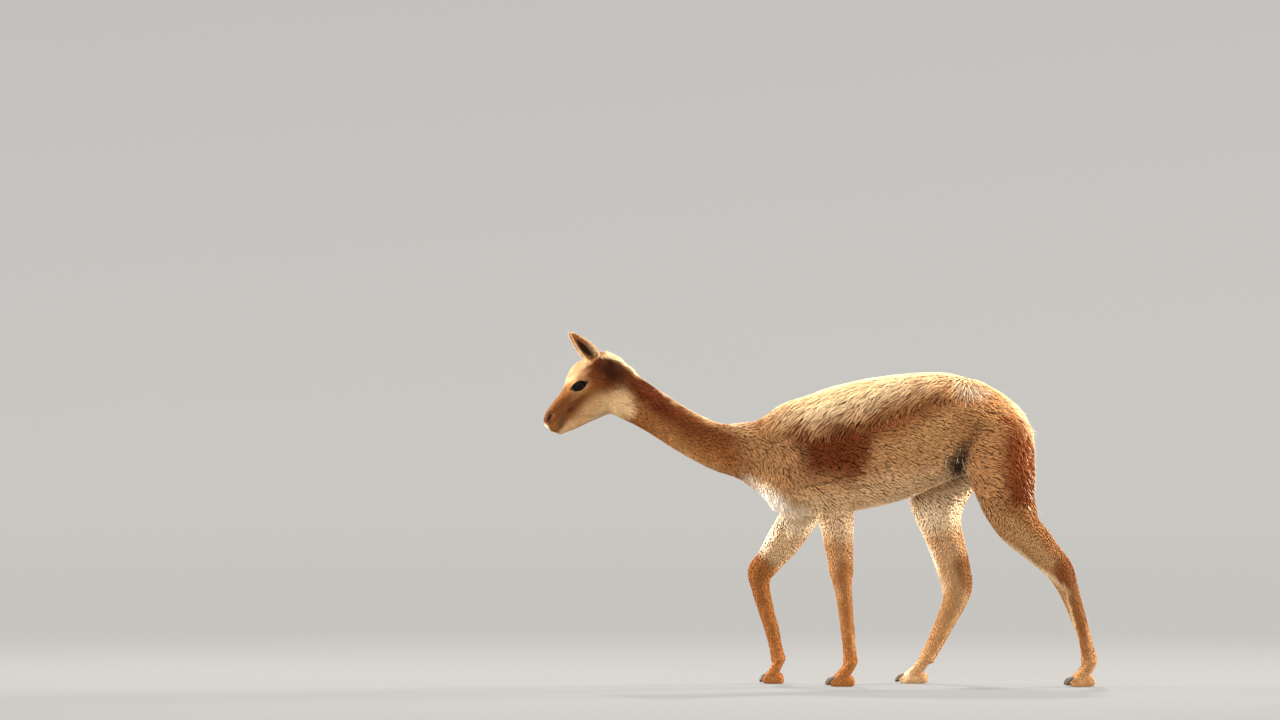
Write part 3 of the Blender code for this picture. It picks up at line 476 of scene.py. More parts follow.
def depthAt(where):                     # where: rows of X, Y, Z
    byHeight = np.interp(where[:, 2], *coatDepth["height"])
    byPlace = np.interp(where[:, 0], *coatDepth["along"])
    depth = np.minimum(byHeight, byPlace)
    for side in sides.values():
        centre = np.array(headMatrix(side) @ Vector(eye["centre"]))
        away = np.linalg.norm(where - centre, axis=1)
        depth *= np.interp(away, [eye["radius"] + 0.004, eye["radius"] + 0.022], [0.05, 1.0])
    return depth


def inset(mesh):                        # moves the form's surface in by the coat's depth
    where = vertexRows(mesh, "co")
    where -= vertexRows(mesh, "normal") * depthAt(where)[:, None]
    mesh.vertices.foreach_set("co", where.ravel())
    mesh.update()
    return mesh


def cutOpen(mesh, point, facing):       # what lies past the plane goes, and the cut stays open
    bm = bmesh.new()
    bm.from_mesh(mesh)
    bmesh.ops.bisect_plane(bm, geom=bm.verts[:] + bm.edges[:] + bm.faces[:], dist=1e-6,
                           plane_co=point, plane_no=facing, clear_outer=True)
    return meshFrom(bm)


def combined(base, tools, operation="DIFFERENCE"):
    holder = place("holder", base)
    group = bpy.data.collections.new("tools")
    bpy.context.scene.collection.children.link(group)
    helpers = [bpy.data.objects.new("tool", mesh) for mesh in tools]
    for helper in helpers:
        group.objects.link(helper)
    boolean = holder.modifiers.new("boolean", "BOOLEAN")
    boolean.operation = operation
    boolean.operand_type = "COLLECTION"
    boolean.collection = group
    boolean.solver = "MANIFOLD"
    mesh = evaluated(holder)
    for helper in helpers:
        bpy.data.objects.remove(helper, do_unlink=True)
    bpy.data.collections.remove(group)
    return mesh


def eyeCutter(side):
    bm = bmesh.new()
    bmesh.ops.create_icosphere(bm, subdivisions=4, radius=eye["radius"] + eye["clearance"])
    return moved(meshFrom(bm), headMatrix(side) @ Matrix.Translation(eye["centre"]))


def lidCutter(side):                    # an almond-shaped prism that opens the lids
    length, height = eye["opening"]
    rings = []
    for out in (eye["centre"][1] - eye["back"], eye["outside"]):
        ring = []
        for k in range(40):
            angle = 2 * math.pi * k / 40
            rise = math.sin(angle) * (1 - eye["almond"] * abs(math.cos(angle)) ** 3)
            ring.append(Vector((math.cos(angle) * length, out, rise * height)))
        rings.append(ring)
    slant = Matrix.Rotation(-eye["slant"], 4, "Y")
    centre = Matrix.Translation((eye["centre"][0], 0, eye["centre"][2]))
    return moved(skinRings(rings), headMatrix(side) @ centre @ slant)


def nostrilCutter(side):
    turn, tilt = head["nostrilTurn"]
    turned = Matrix.Rotation(turn, 4, "Z") @ Matrix.Rotation(tilt, 4, "Y")
    return ellipsoid(*head["nostril"], side, turned)


def mouthCutter():
    half = curveThrough(head["mouth"], 5)
    line = [Vector(row) for row in half] + [Vector((x, -y, z)) for x, y, z in reversed(half[:-1])]
    rings = []
    for i, point in enumerate(line):
        run = (line[min(i + 1, len(line) - 1)] - line[max(i - 1, 0)]).normalized()
        inward = run.cross(Vector((0, 0, 1))).normalized()
        rings.append([
            point + inward * (head["mouthDepth"] * math.cos(math.pi * k / 5))
            + Vector((0, 0, head["mouthGape"] * math.sin(math.pi * k / 5))) for k in range(10)
        ])
    return moved(skinRings(rings), headMatrix())


def earInHead():                        # X to its front rim, Y to its hollow, Z along the ear
    lean = Matrix.Rotation(ear["lean"], 4, "X")
    turn = Matrix.Rotation(ear["turn"], 4, "Z")
    return Matrix.Translation(ear["root"]) @ lean @ turn


def earShell(side):                     # a leaf-shaped cup on an oval root
    rings = []
    count = 17
    for share, leaf in curveThrough(ear["leaf"], 4):
        half = ear["halfWidth"] * leaf
        curl = ear["curl"] * (1 - 0.45 * share)
        radius = half / math.sin(curl)
        height = ear["length"] * share
        hollow = ramp(share, 0.0, ear["filled"])
        wall = ear["wall"] * (1.3 - 0.7 * max(share, 0))
        bend = ear["bend"] * max(share, 0) ** 2
        back, front = [], []
        for k in range(count):
            angle = curl * (2 * k / (count - 1) - 1)
            x = radius * math.sin(angle)
            sag = radius * (math.cos(angle) - math.cos(curl))
            plug = 0.62 * math.sqrt(max(0.0, half ** 2 - x ** 2))
            cup = -sag + wall * (1.0 - 0.55 * (x / half) ** 2)
            back.append(Vector((x, bend - sag, height)))
            front.append(Vector((x * 0.985, bend + hollow * cup + (1 - hollow) * plug, height)))
        rings.append(back + list(reversed(front)))
    return moved(skinRings(rings), headMatrix(side) @ earInHead())


def headSkin():
    lid = eye["radius"] + eye["lid"]
    forms = [headLoft(), pathLoft(body["neck"][:5]), ellipsoid(*head["chin"])]
    for side in sides.values():
        forms.append(ellipsoid(eye["centre"], (lid, lid, lid), side))
        forms.extend(ellipsoid(*form, side) for form in head["forms"].values())
    plain, soft = head["passes"]
    mesh = inset(fused(forms, head["voxel"], plain, headSoftness, soft))
    cutters = [mouthCutter()]
    for side in sides.values():
        cutters.extend((lidCutter(side), eyeCutter(side), nostrilCutter(side)))
    mesh = combined(mesh, cutters)
    return combined(mesh, [earShell(side) for side in sides.values()], "UNION")


def nearPlane(vert, plane, reach=0.004):
    point, facing = plane
    return abs((vert.co - point).dot(facing)) < reach


def skinMesh():                         # one closed skin: body, head and feet bridged at cuts
    x, z = body["neckCut"]
    neckCut = (Vector((x + body["shift"], 0, z)), Vector(body["cutFacing"]).normalized())
    fetlock = (Vector((0, 0, feet["cutHeight"])), Vector((0, 0, -1)))
    gap = body["cutGap"]
    parts = [trunkLoft(), pathLoft(body["neck"]), headLoft()] + [legLoft(name) for name in legs]
    for name in legs:
        parts.extend(footParts(name))
    share = body["slimTail"]
    slim = [(x, z, depth * share, width * share) for x, z, depth, width in body["tail"]]
    parts.append(pathLoft(slim, 20))
    plain, soft = body["passes"]
    mesh = inset(fused(parts, body["voxel"], plain, bodySoftness, soft))
    mesh = cutOpen(mesh, neckCut[0] + neckCut[1] * gap, -neckCut[1])
    mesh = cutOpen(mesh, fetlock[0] - fetlock[1] * gap, fetlock[1])
    bm = bmesh.new()
    bm.from_mesh(mesh)
    bm.from_mesh(cutOpen(headSkin(), neckCut[0] - neckCut[1] * gap, neckCut[1]))
    for name in legs:
        foot = inset(fused([legLoft(name, -5)] + footParts(name), feet["voxel"], feet["passes"]))
        nails = [toeLoft(name, "nail", shift) for shift in (-feet["spread"], feet["spread"])]
        foot = cutOpen(combined(foot, nails), fetlock[0] + fetlock[1] * gap, -fetlock[1])
        bm.from_mesh(cutOpen(foot, Vector((0, 0, feet["soleHeight"])), Vector((0, 0, -1))))
    bm.edges.ensure_lookup_table()
    rims = [edge for edge in bm.edges if edge.is_boundary]
    soles = [edge for edge in rims if all(vert.co.z < 0.003 for vert in edge.verts)]
    bmesh.ops.holes_fill(bm, edges=soles, sides=0)
    necks = [edge for edge in rims if all(nearPlane(vert, neckCut) for vert in edge.verts)
             and edge.verts[0].co.z > 0.6]
    bmesh.ops.bridge_loops(bm, edges=necks)
    for name in legs:
        x, out = feet["places"][name][:2]
        centre = Vector((x + body["shift"], -sideOf(name) * out, feet["cutHeight"]))
        cuff = [edge for edge in rims if nearPlane(edge.verts[0], fetlock)
                and (edge.verts[0].co - centre).length < feet["cuffRadius"]]
        bmesh.ops.bridge_loops(bm, edges=cuff)
    bmesh.ops.triangulate(bm, faces=[face for face in bm.faces if len(face.verts) > 4])
    bmesh.ops.recalc_face_normals(bm, faces=bm.faces)
    openEdges = sum(not edge.is_manifold for edge in bm.edges)
    print("skin:", len(bm.faces), "faces,", openEdges, "open edges")
    return meshFrom(bm, "skin")


# Shader maths: a wire is one output socket, and arithmetic on it adds Math nodes
class Wire:
    def __init__(self, tree, socket=None):
        self.tree = tree
        self.socket = socket

    def node(self, kind, settings=None, inputs=None, output=0):
        made = self.tree.nodes.new("ShaderNode" + kind)
        for name, value in (settings or {}).items():
            if name == "stops":
                self.setStops(made.color_ramp, value)
            else:
                setattr(made, name, value)
        for name, value in (inputs or {}).items():
            if isinstance(value, Wire):
                self.tree.links.new(value.socket, made.inputs[name])
            else:
                made.inputs[name].default_value = value
        return Wire(self.tree, made.outputs[output])

    def setStops(self, colorRamp, stops):
        while len(colorRamp.elements) < len(stops):
            colorRamp.elements.new(0.5)
        for element, (at, color) in zip(colorRamp.elements, stops):
            element.position = at
            element.color = color

    def math(self, operation, *values):
        return self.node("Math", {"operation": operation}, dict(enumerate(values)))

    def __add__(self, other):
        return self.math("ADD", self, other)

    def __sub__(self, other):
        return self.math("SUBTRACT", self, other)

    def __rsub__(self, other):
        return self.math("SUBTRACT", other, self)

    def __mul__(self, other):
        return self.math("MULTIPLY", self, other)

    def __truediv__(self, other):
        return self.math("DIVIDE", self, other)

    __radd__ = __add__
    __rmul__ = __mul__

    def absolute(self):
        return self.math("ABSOLUTE", self)

    def squared(self):
        return self * self

    def smooth(self, low, high):        # 0 below low, 1 above high, or the other way round
        return self.node("MapRange", {"interpolation_type": "SMOOTHSTEP"},
                         {"Value": self, "From Min": low, "From Max": high})

    def curve(self, rows):              # a value read off a line of (place, value)
        low, high = rows[0][0], rows[-1][0]
        stops = [((at - low) / (high - low), (value, value, value, 1.0)) for at, value in rows]
        return self.node("ValToRGB", {"stops": stops}, {0: (self - low) * (1 / (high - low))})

    def colors(self, rows):             # a colour read off a line of (share, colour)
        return self.node("ValToRGB", {"stops": [(at, linear(*tint)) for at, tint in rows]}, {0: self})

    def vector(self, operation, *values, output=0):
        return self.node("VectorMath", {"operation": operation}, dict(enumerate(values)), output)

    def scaled(self, amount):           # a colour or vector times one value
        made = self.vector("SCALE", self)
        self.tree.links.new(amount.socket, made.socket.node.inputs["Scale"])
        return made

    def mix(self, factor, color, blend="MIX"):
        return self.node("Mix", {"data_type": "RGBA", "blend_type": blend},
                         {0: factor, 6: self, 7: color}, 2)

    def noise(self, scale, detail=2.0, roughness=0.5, color=False):
        return self.node("TexNoise", {}, {"Vector": self, "Scale": scale, "Detail": detail,
                                          "Roughness": roughness}, 1 if color else 0)

    def split(self):
        parts = self.node("SeparateXYZ", {}, {0: self}).socket.node.outputs
        return [Wire(self.tree, socket) for socket in parts]

    def plain(self, tint):              # one colour to lay the others over
        made = self.node("RGB")
        made.socket.default_value = linear(*tint)
        return made

    def feed(self, shader, name):
        self.tree.links.new(self.socket, shader.inputs[name])


def linear(red, green, blue):           # a colour as a screen shows it, to the shader's values
    return tuple((v / 255 / 12.92 if v <= 10 else ((v / 255 + 0.055) / 1.055) ** 2.4)
                 for v in (red, green, blue)) + (1.0,)


def newMaterial(name, roughness, specular=0.5, coat=0.0):
    material = bpy.data.materials.new(name)
    material.use_nodes = True
    shader = material.node_tree.nodes["Principled BSDF"]
    shader.inputs["Roughness"].default_value = roughness
    shader.inputs["Specular IOR Level"].default_value = specular
    shader.inputs["Coat Weight"].default_value = coat
    return material, shader, Wire(material.node_tree)


# Markings on each side of the body, laid over one another in this order:
# X, Z, half length, half height, degrees turned, how soft the edge is, colour
bodyMarks = {
    "base": (184, 136, 90),
    "patches": [
        (0.210, 0.555, 0.28, 0.070, -12, 1.0, (212, 172, 128)),     # low flank and belly
        (-0.150, 0.630, 0.085, 0.13, 10, 0.7, (174, 126, 82)),      # side of the chest
        (-0.160, 0.590, 0.075, 0.022, 26, 0.9, (214, 184, 150)),    # above the bib
        (-0.060, 0.530, 0.10, 0.045, 0, 0.8, (192, 156, 116)),      # between the forelegs
        (0.470, 0.760, 0.10, 0.07, 0, 0.8, (164, 116, 72)),         # croup
        (0.480, 0.640, 0.060, 0.12, 6, 0.8, (182, 130, 84)),        # front of the thigh
        (0.560, 0.647, 0.058, 0.140, 2, 0.9, (132, 70, 34)),        # back of the thigh
        (0.570, 0.570, 0.034, 0.055, 12, 0.9, (112, 54, 24)),
        (0.515, 0.768, 0.026, 0.014, 10, 0.9, (128, 70, 34)),
        (0.575, 0.500, 0.060, 0.040, 30, 0.9, (146, 92, 52)),
        (0.640, 0.430, 0.13, 0.050, 48, 0.8, (164, 112, 68)),       # gaskin
        (0.610, 0.418, 0.12, 0.022, 48, 0.9, (188, 144, 96)),
        (0.705, 0.330, 0.045, 0.030, 60, 0.9, (142, 84, 46)),       # hock
        (0.745, 0.190, 0.020, 0.130, -9, 0.9, (144, 94, 52)),       # hind cannon
        (0.380, 0.480, 0.060, 0.13, 10, 0.8, (202, 160, 116)),       # far thigh and gaskin
        (0.430, 0.330, 0.030, 0.060, -20, 0.9, (146, 98, 58)),     # far hock
        (0.355, 0.170, 0.024, 0.130, 22, 0.9, (178, 132, 86)),      # far hind cannon
        (0.330, 0.190, 0.010, 0.120, 22, 0.9, (204, 164, 118)),
        (-0.105, 0.430, 0.055, 0.11, 38, 0.8, (208, 174, 134)),     # forearm
        (-0.185, 0.330, 0.022, 0.045, 0, 0.9, (192, 138, 90)),      # knee
        (-0.160, 0.175, 0.020, 0.105, -10, 0.9, (168, 112, 64)),    # fore cannon
        (-0.135, 0.200, 0.008, 0.110, -10, 0.9, (198, 150, 100)),
        (0.062, 0.330, 0.022, 0.040, 0, 0.9, (168, 112, 66)),
        (0.075, 0.170, 0.018, 0.130, 0, 0.9, (166, 110, 62)),
        (-0.160, 0.415, 0.014, 0.100, 33, 0.9, (246, 230, 206)),    # pale front edges of the legs: paler hair with a painted rim of light
        (-0.178, 0.170, 0.009, 0.140, -11, 0.9, (232, 194, 150)),
        (0.308, 0.420, 0.013, 0.130, -22, 0.9, (246, 228, 200)),
        (0.300, 0.140, 0.011, 0.150, 21, 0.9, (240, 214, 178)),
        (0.586, 0.380, 0.140, 0.011, 38, 0.9, (234, 202, 162)),
        (0.732, 0.180, 0.005, 0.095, -14, 0.9, (220, 184, 142)),
    ],
    # the wool of the back ends on this line, and the rust below it on the next
    "woolEdge": [
        (-0.30, 0.740), (-0.158, 0.756), (-0.0565, 0.738), (-0.013, 0.738), (0.0885, 0.766),
        (0.161, 0.784), (0.2335, 0.808), (0.306, 0.836), (0.3785, 0.850), (0.480, 0.840),
        (0.529, 0.804), (0.572, 0.745), (0.594, 0.710), (0.610, 0.680), (0.632, 0.560),
    ],
    "rustEdge": [
        (-0.110, 0.800), (-0.085, 0.700), (-0.071, 0.600), (0.0885, 0.590), (0.123, 0.650),
        (0.135, 0.690), (0.161, 0.706), (0.2335, 0.740), (0.306, 0.780), (0.370, 0.822),
        (0.420, 0.860),
    ],
    # the pale wool of the back, painted paler still towards the top as painted sunlight
    "wool": (244, 218, 174),
    "woolLow": (196, 142, 90),
    "woolGap": (128, 76, 40),           # rust and painted shade seen between the locks, strongest low and in front
    "rust": (106, 50, 22),
    "rustBand": (140, 84, 44),
    "hip": (0.430, 0.853, 0.032, 0.012, 14, 1.2, (190, 168, 144)),
    # height of the neck's upper and lower line, and the colours between them, low to high
    "neckTop": [
        (-0.66, 0.968), (-0.60, 0.950), (-0.5205, 0.899), (-0.43, 0.828), (-0.3465, 0.777),
        (-0.2305, 0.744), (-0.16, 0.752),
    ],
    "neckLow": [
        (-0.66, 0.800), (-0.60, 0.786), (-0.5205, 0.745), (-0.43, 0.690), (-0.3465, 0.642),
        (-0.2305, 0.592), (-0.16, 0.55),
    ],
    # the top stop of each is painted rim light along the crest; the bottom stop is pale throat hair, painted
    # paler still as a rim of light
    "neckByHead": [
        (0.0, (214, 172, 124)), (0.16, (184, 132, 84)), (0.40, (150, 92, 50)),
        (0.62, (106, 49, 20)), (0.88, (86, 38, 14)), (0.97, (214, 168, 116)),
    ],
    "neckByChest": [
        (0.0, (196, 150, 102)), (0.14, (168, 112, 64)), (0.45, (146, 88, 46)),
        (0.80, (126, 70, 35)), (0.96, (210, 164, 112)),
    ],
    "white": [          # as the patches, but with Y and its half size, for the bib and the underside
        (-0.168, 0.0, 0.552, 0.110, 0.095, 0.050, 26, 0.6, (240, 230, 216)),
        (-0.060, 0.0, 0.495, 0.11, 0.085, 0.045, 5, 0.8, (236, 216, 188)),
        (0.20, 0.0, 0.490, 0.26, 0.110, 0.060, -6, 0.9, (244, 218, 182)),
        (0.45, 0.0, 0.540, 0.13, 0.066, 0.10, 20, 0.7, (216, 188, 152)),
    ],
    "innerLeg": (0.046, 0.066, (190, 150, 106)),    # distances from the middle; paler inside
    # the dark fold between belly and thigh: its bare dark skin, darkened further as painted shade
    "groin": (0.384, 0.080, 0.655, 0.027, 0.090, 0.060, 22, 1.4, (66, 47, 33)),
    "warp": 0.03,                       # how far noise moves the edges of the markings
    # where each marking fades in: along X or Z, or from the line that it ends on ("edge")
    "fades": {
        "innerLegZ": (0.56, 0.46),
        "rustEdge": (-0.030, 0.060), "rustRearX": (0.43, 0.36), "rustFrontX": (-0.110, -0.030),
        "rustBandX": (0.04, 0.22),
        "woolEdge": (-0.020, 0.020), "woolX": (-0.28, -0.16),
        "paleEdge": (-0.01, 0.070), "paleX": (-0.24, 0.06),
        "gapEdge": (0.110, 0.0), "gapNoise": (0.46, 0.62),
        "chestX": (-0.50, -0.26), "neckX": (-0.150, -0.270),
        # the crest fades place the painted rim light along the top of the neck
        "crestShare": (0.94, 0.99), "crestHeadX": (-0.66, -0.64), "crestNeckX": (-0.20, -0.28),
    },
    "gapSlope": 0.12,                   # the gaps reach higher in front
    "gapTurn": -40,                     # degrees that the streaks of the gaps slope down
    "gapSize": (0.030, 0.030, 0.0055),
}

# Markings on the head, in its own frame: along, out, up, three half sizes, turn, softness, colour
headMarks = {
    "base": (158, 100, 52),
    "patches": [
        (0.150, 0.020, 0.002, 0.078, 0.06, 0.030, -16, 0.9, (126, 76, 40)),     # side of the muzzle
        (0.100, 0.040, -0.066, 0.130, 0.06, 0.043, 8, 0.9, (212, 168, 120)),    # jaw
        (0.120, 0.000, -0.085, 0.140, 0.05, 0.026, 6, 0.9, (228, 196, 156)),    # under the jaw: cream hair, painted paler still as a rim of light
        (0.034, 0.03, -0.080, 0.046, 0.08, 0.044, 0, 0.9, (238, 200, 150)),     # throat
        (0.008, 0.050, 0.012, 0.056, 0.09, 0.050, 0, 0.9, (132, 72, 36)),       # below the ear
        (0.145, 0.0, 0.064, 0.100, 0.026, 0.026, 14, 0.8, (160, 118, 76)),      # bridge of the nose
        (0.055, 0.0, 0.090, 0.062, 0.040, 0.026, 0, 0.8, (200, 150, 94)),       # forehead
        (0.100, 0.040, 0.013, 0.030, 0.04, 0.008, 0, 1.1, (160, 112, 68)),      # below the eye
        (0.072, 0.036, 0.054, 0.036, 0.02, 0.010, -16, 0.9, (206, 156, 108)),   # brow
        (0.1476, 0.03, -0.0072, 0.012, 0.03, 0.006, 0, 0.9, (96, 56, 30)),      # a dark spot on the lip
        (0.190, 0.0, -0.050, 0.040, 0.05, 0.018, 10, 0.9, (226, 184, 138)),     # chin
        (0.2275, 0.0, -0.002, 0.0060, 0.020, 0.012, 0, 0.9, (226, 210, 188)),   # front of the lip
        (0.192, 0.03, -0.021, 0.019, 0.03, 0.0085, 24, 1.2, (112, 82, 54)),     # behind the mouth
        (0.205, 0.024, 0.015, 0.020, 0.02, 0.0125, 26, 0.9, (98, 58, 32)),      # round the nostril
        (0.207, 0.024, 0.015, 0.0130, 0.02, 0.0065, 26, 0.8, (46, 26, 15)),
    ],
    "warp": 0.010,
    "from": (-0.035, 0.010),            # where along the head its colours take over from the neck's
    "earsFrom": (-0.09, -0.07),
    "rim": (34, 22, 16),                # bare skin round the eye
    # along and up from the eye's centre, and half sizes, where the bare skin runs out to a corner
    "eyeCorners": [(0.0180, 0.0050, 0.0090, 0.0046), (-0.0165, -0.0045, 0.0100, 0.0078)],
    "ring": (196, 150, 104),            # pale hair round it
    "ringSize": (0.031, 0.022),
    "eyeDepth": 0.06,                   # half size of these patches across the head
    "crestLight": (250, 224, 178),           # the lit hair along the nape
    # the dark patch behind the ear: darker hair with painted shade over it
    "napeShadeAndHair": (-0.018, 0.05, 0.012, 0.036, 0.09, 0.054, 10, 1.3, (70, 35, 17)),
}

# Markings on the ear, as shares of its half width and of its length
earMarks = {
    "back": (158, 106, 62),
    "inside": (168, 108, 62),
    # the dark streak down the deep middle of the hollow is painted shade
    "streak": (0.30, 0.44, 0.46, 0.34, (48, 31, 20)),
    "rearRoot": (-0.50, 0.20, 0.42, 0.22, (158, 132, 100)),
    "rim": (222, 184, 138),
    "rimAcross": (0.84, 1.0),           # where the rim's colour begins and is full
    "rimAtTip": (0.90, 0.99),
    "from": (0.02, 0.12),               # where the ear's colours take over from the head's
}


def patch(where, centre, radii, turn, softness):    # 1 inside an ellipsoid, 0 outside
    local = where.node("Mapping", {"vector_type": "TEXTURE"}, {
        "Vector": where, "Location": centre, "Rotation": (0, math.radians(turn), 0), "Scale": radii})
    return local.vector("LENGTH", local, output=1).smooth(1.0 + softness / 2, 1.0 - softness / 2)


def marked(color, where, mark, share=1.0):      # lays one marking over a colour
    cx, cy, cz, rx, ry, rz, turn, softness, tint = mark
    inside = patch(where, (cx, cy, cz), (rx, ry, rz), turn, softness)
    if share < 1:
        inside = inside * share
    return color.mix(inside, linear(*tint))


def through(mark):                      # a side marking, deeper in Y than the body
    x, z, length, height, *rest = mark
    return (x, 0.1, z, length, 9.0, height, *rest)


def mirroredY(where):
    x, y, z = where.split()
    y = y.absolute()
    return where.node("CombineXYZ", {}, {0: x, 1: y, 2: z}), x, y, z


def headFrame(where):                   # the head's own frame, from a place in the world
    return where.node("Mapping", {"vector_type": "TEXTURE"}, {
        "Vector": where, "Location": headMatrix().translation, "Rotation": headMatrix().to_euler()})


def woolColors(where, edge, x):         # pale wool, painted paler higher up as painted sunlight, with rust and painted shade between its locks low and in front
    fade = bodyMarks["fades"]
    # paler away from the wool's edge: the hair's own paleness and painted sunlight on the top of the back
    pale = edge.smooth(*fade["paleEdge"]) * (x.smooth(*fade["paleX"]) * 0.6 + 0.4)
    color = where.plain(bodyMarks["woolLow"]).mix(pale, linear(*bodyMarks["wool"]))
    across = where.node("Mapping", {"vector_type": "TEXTURE"}, {
        "Vector": where, "Rotation": (0, math.radians(bodyMarks["gapTurn"]), 0),
        "Scale": bodyMarks["gapSize"]})
    # the gaps between the locks: rust coat with painted shade
    low = (edge + x * bodyMarks["gapSlope"]).smooth(*fade["gapEdge"])
    gaps = across.noise(1.0, 2.0, 0.5).smooth(*fade["gapNoise"]) * (low * 0.85 + 0.15)
    return color.mix(gaps, linear(*bodyMarks["woolGap"]))


def neckColors(x, z):                   # its colour, 1 where rim light is painted along its top, 1 on the neck
    fade = bodyMarks["fades"]
    low = x.curve(bodyMarks["neckLow"])
    share = (z - low) / (x.curve(bodyMarks["neckTop"]) - low)
    byChest = x.smooth(*fade["chestX"])
    color = share.colors(bodyMarks["neckByHead"]).mix(byChest, share.colors(bodyMarks["neckByChest"]))
    crestLight = share.smooth(*fade["crestShare"])
    crestLight = crestLight * x.smooth(*fade["crestHeadX"]) * x.smooth(*fade["crestNeckX"])
    return color, crestLight, (x + share * 0.03).smooth(*fade["neckX"])


def bodyColors(where, warp):
    fade = bodyMarks["fades"]
    warped = where.vector("MULTIPLY_ADD", warp, (bodyMarks["warp"],) * 3, where)
    bodyPlace, x, y, z = mirroredY(warped)
    color = where.plain(bodyMarks["base"])
    inner, outer, tint = bodyMarks["innerLeg"]
    color = color.mix(y.smooth(outer, inner) * z.smooth(*fade["innerLegZ"]), linear(*tint))
    for mark in bodyMarks["patches"]:
        color = marked(color, bodyPlace, through(mark))
    edge = z - x.curve(bodyMarks["rustEdge"])
    rust = edge.smooth(*fade["rustEdge"]) * x.smooth(*fade["rustRearX"]) * x.smooth(*fade["rustFrontX"])
    band = x.smooth(*fade["rustBandX"])
    color = color.mix(rust, where.plain(bodyMarks["rust"]).mix(band, linear(*bodyMarks["rustBand"])))
    edge = z - x.curve(bodyMarks["woolEdge"])
    wool = edge.smooth(*fade["woolEdge"]) * x.smooth(*fade["woolX"])
    color = color.mix(wool, woolColors(where, edge, x))
    color = marked(color, bodyPlace, through(bodyMarks["hip"]), 0.85)
    for mark in bodyMarks["white"] + [bodyMarks["groin"]]:
        color = marked(color, bodyPlace, mark)
    neck, crestLight, onNeck = neckColors(x, z)
    return color.mix(onNeck, neck), crestLight


def faceColors(where, warp, hollow):
    warped = where.vector("MULTIPLY_ADD", warp, (headMarks["warp"],) * 3, where)
    headPlace, u = mirroredY(headFrame(warped))[:2]
    exactPlace = mirroredY(headFrame(where))[0]
    face = where.plain(headMarks["base"])
    for mark in headMarks["patches"]:
        face = marked(face, headPlace, mark)
    cu, cw, cv = eye["centre"]
    deep = headMarks["eyeDepth"]
    turn = -math.degrees(eye["slant"])
    ru, rv = headMarks["ringSize"]
    face = marked(face, exactPlace, (cu, cw, cv, ru, deep, rv, turn, 0.8, headMarks["ring"]), 0.6)
    rim = patch(exactPlace, (cu, cw, cv), (eye["rim"][0], deep, eye["rim"][1]), turn, 0.16)
    for du, dv, ru, rv in headMarks["eyeCorners"]:
        corner = patch(exactPlace, (cu + du, cw, cv + dv), (ru, deep, rv), turn, 0.5)
        rim = rim.math("MAXIMUM", rim, corner)
    face = face.mix(rim, linear(*headMarks["rim"]))
    return face, u, earColors(exactPlace, hollow), headPlace


def earColors(headPlace, hollow):       # the ear's colour, and 1 where there is ear
    matrix = earInHead()
    local = headPlace.node("Mapping", {"vector_type": "TEXTURE"}, {
        "Vector": headPlace, "Location": matrix.translation, "Rotation": matrix.to_euler()})
    x, _, z = local.split()
    share = z * (1 / ear["length"])
    across = x / share.curve([(at, width * ear["halfWidth"]) for at, width in ear["leaf"]])
    color = headPlace.plain(earMarks["back"])
    inside = headPlace.plain(earMarks["inside"])
    for name in ("rearRoot", "streak"):
        cx, cz, rx, rz, tint = earMarks[name]
        cut = ((across - cx) * (1 / rx)).squared() + ((share - cz) * (1 / rz)).squared()
        inside = inside.mix(cut.smooth(1.7, 0.3), linear(*tint))
    color = color.mix(hollow, inside)
    rim = linear(*earMarks["rim"])
    color = color.mix(across.absolute().smooth(*earMarks["rimAcross"]), rim)
    color = color.mix(share.smooth(*earMarks["rimAtTip"]) * 0.7, rim)
    return color, share.smooth(*earMarks["from"])


# Small changes of tone over the whole animal: scale or stretch of the noise, and its strength
mottled = {
    "spots": (55.0, 0.30),
    "streaks": ((90.0, 90.0, 30.0), 0.20),
    "base": 0.76,
    "cloud": 22.0,                      # scale of the noise that moves the edges of the markings
}


def markings(where, hollow):            # the animal's colour at a place, for skin and coat alike
    cloud = where.noise(mottled["cloud"], 3.0, color=True)
    warp = cloud.vector("SUBTRACT", cloud, (0.5, 0.5, 0.5))
    color, crestLight = bodyColors(where, warp)
    face, u, (earColor, onEar), headPlace = faceColors(where, warp, hollow)
    color = color.mix(u.smooth(*headMarks["from"]), face)
    # painted shade behind the ear, over its darker hair
    color = marked(color, headPlace, headMarks["napeShadeAndHair"])
    # painted rim light along the crest of the neck
    color = color.mix(crestLight, linear(*headMarks["crestLight"]))
    color = color.mix(onEar * u.smooth(*headMarks["earsFrom"]), earColor)
    scale, strength = mottled["spots"]
    spots = where.noise(scale, 3.0) * strength
    stretch, strength = mottled["streaks"]
    streaks = where.vector("MULTIPLY", where, stretch).noise(1.0, 2.0) * strength
    return color.scaled(spots + streaks + mottled["base"])


def step(values, low, high):
    t = np.clip((values - low) / (high - low), 0, 1)
    return t * t * (3 - 2 * t)


def noiseAt(where, scale, seed=0.0):
    shift = Vector((seed * 7.3, seed * 3.1, seed * 5.7))
    return np.array([noise.noise(Vector(row) * scale + shift) for row in where])


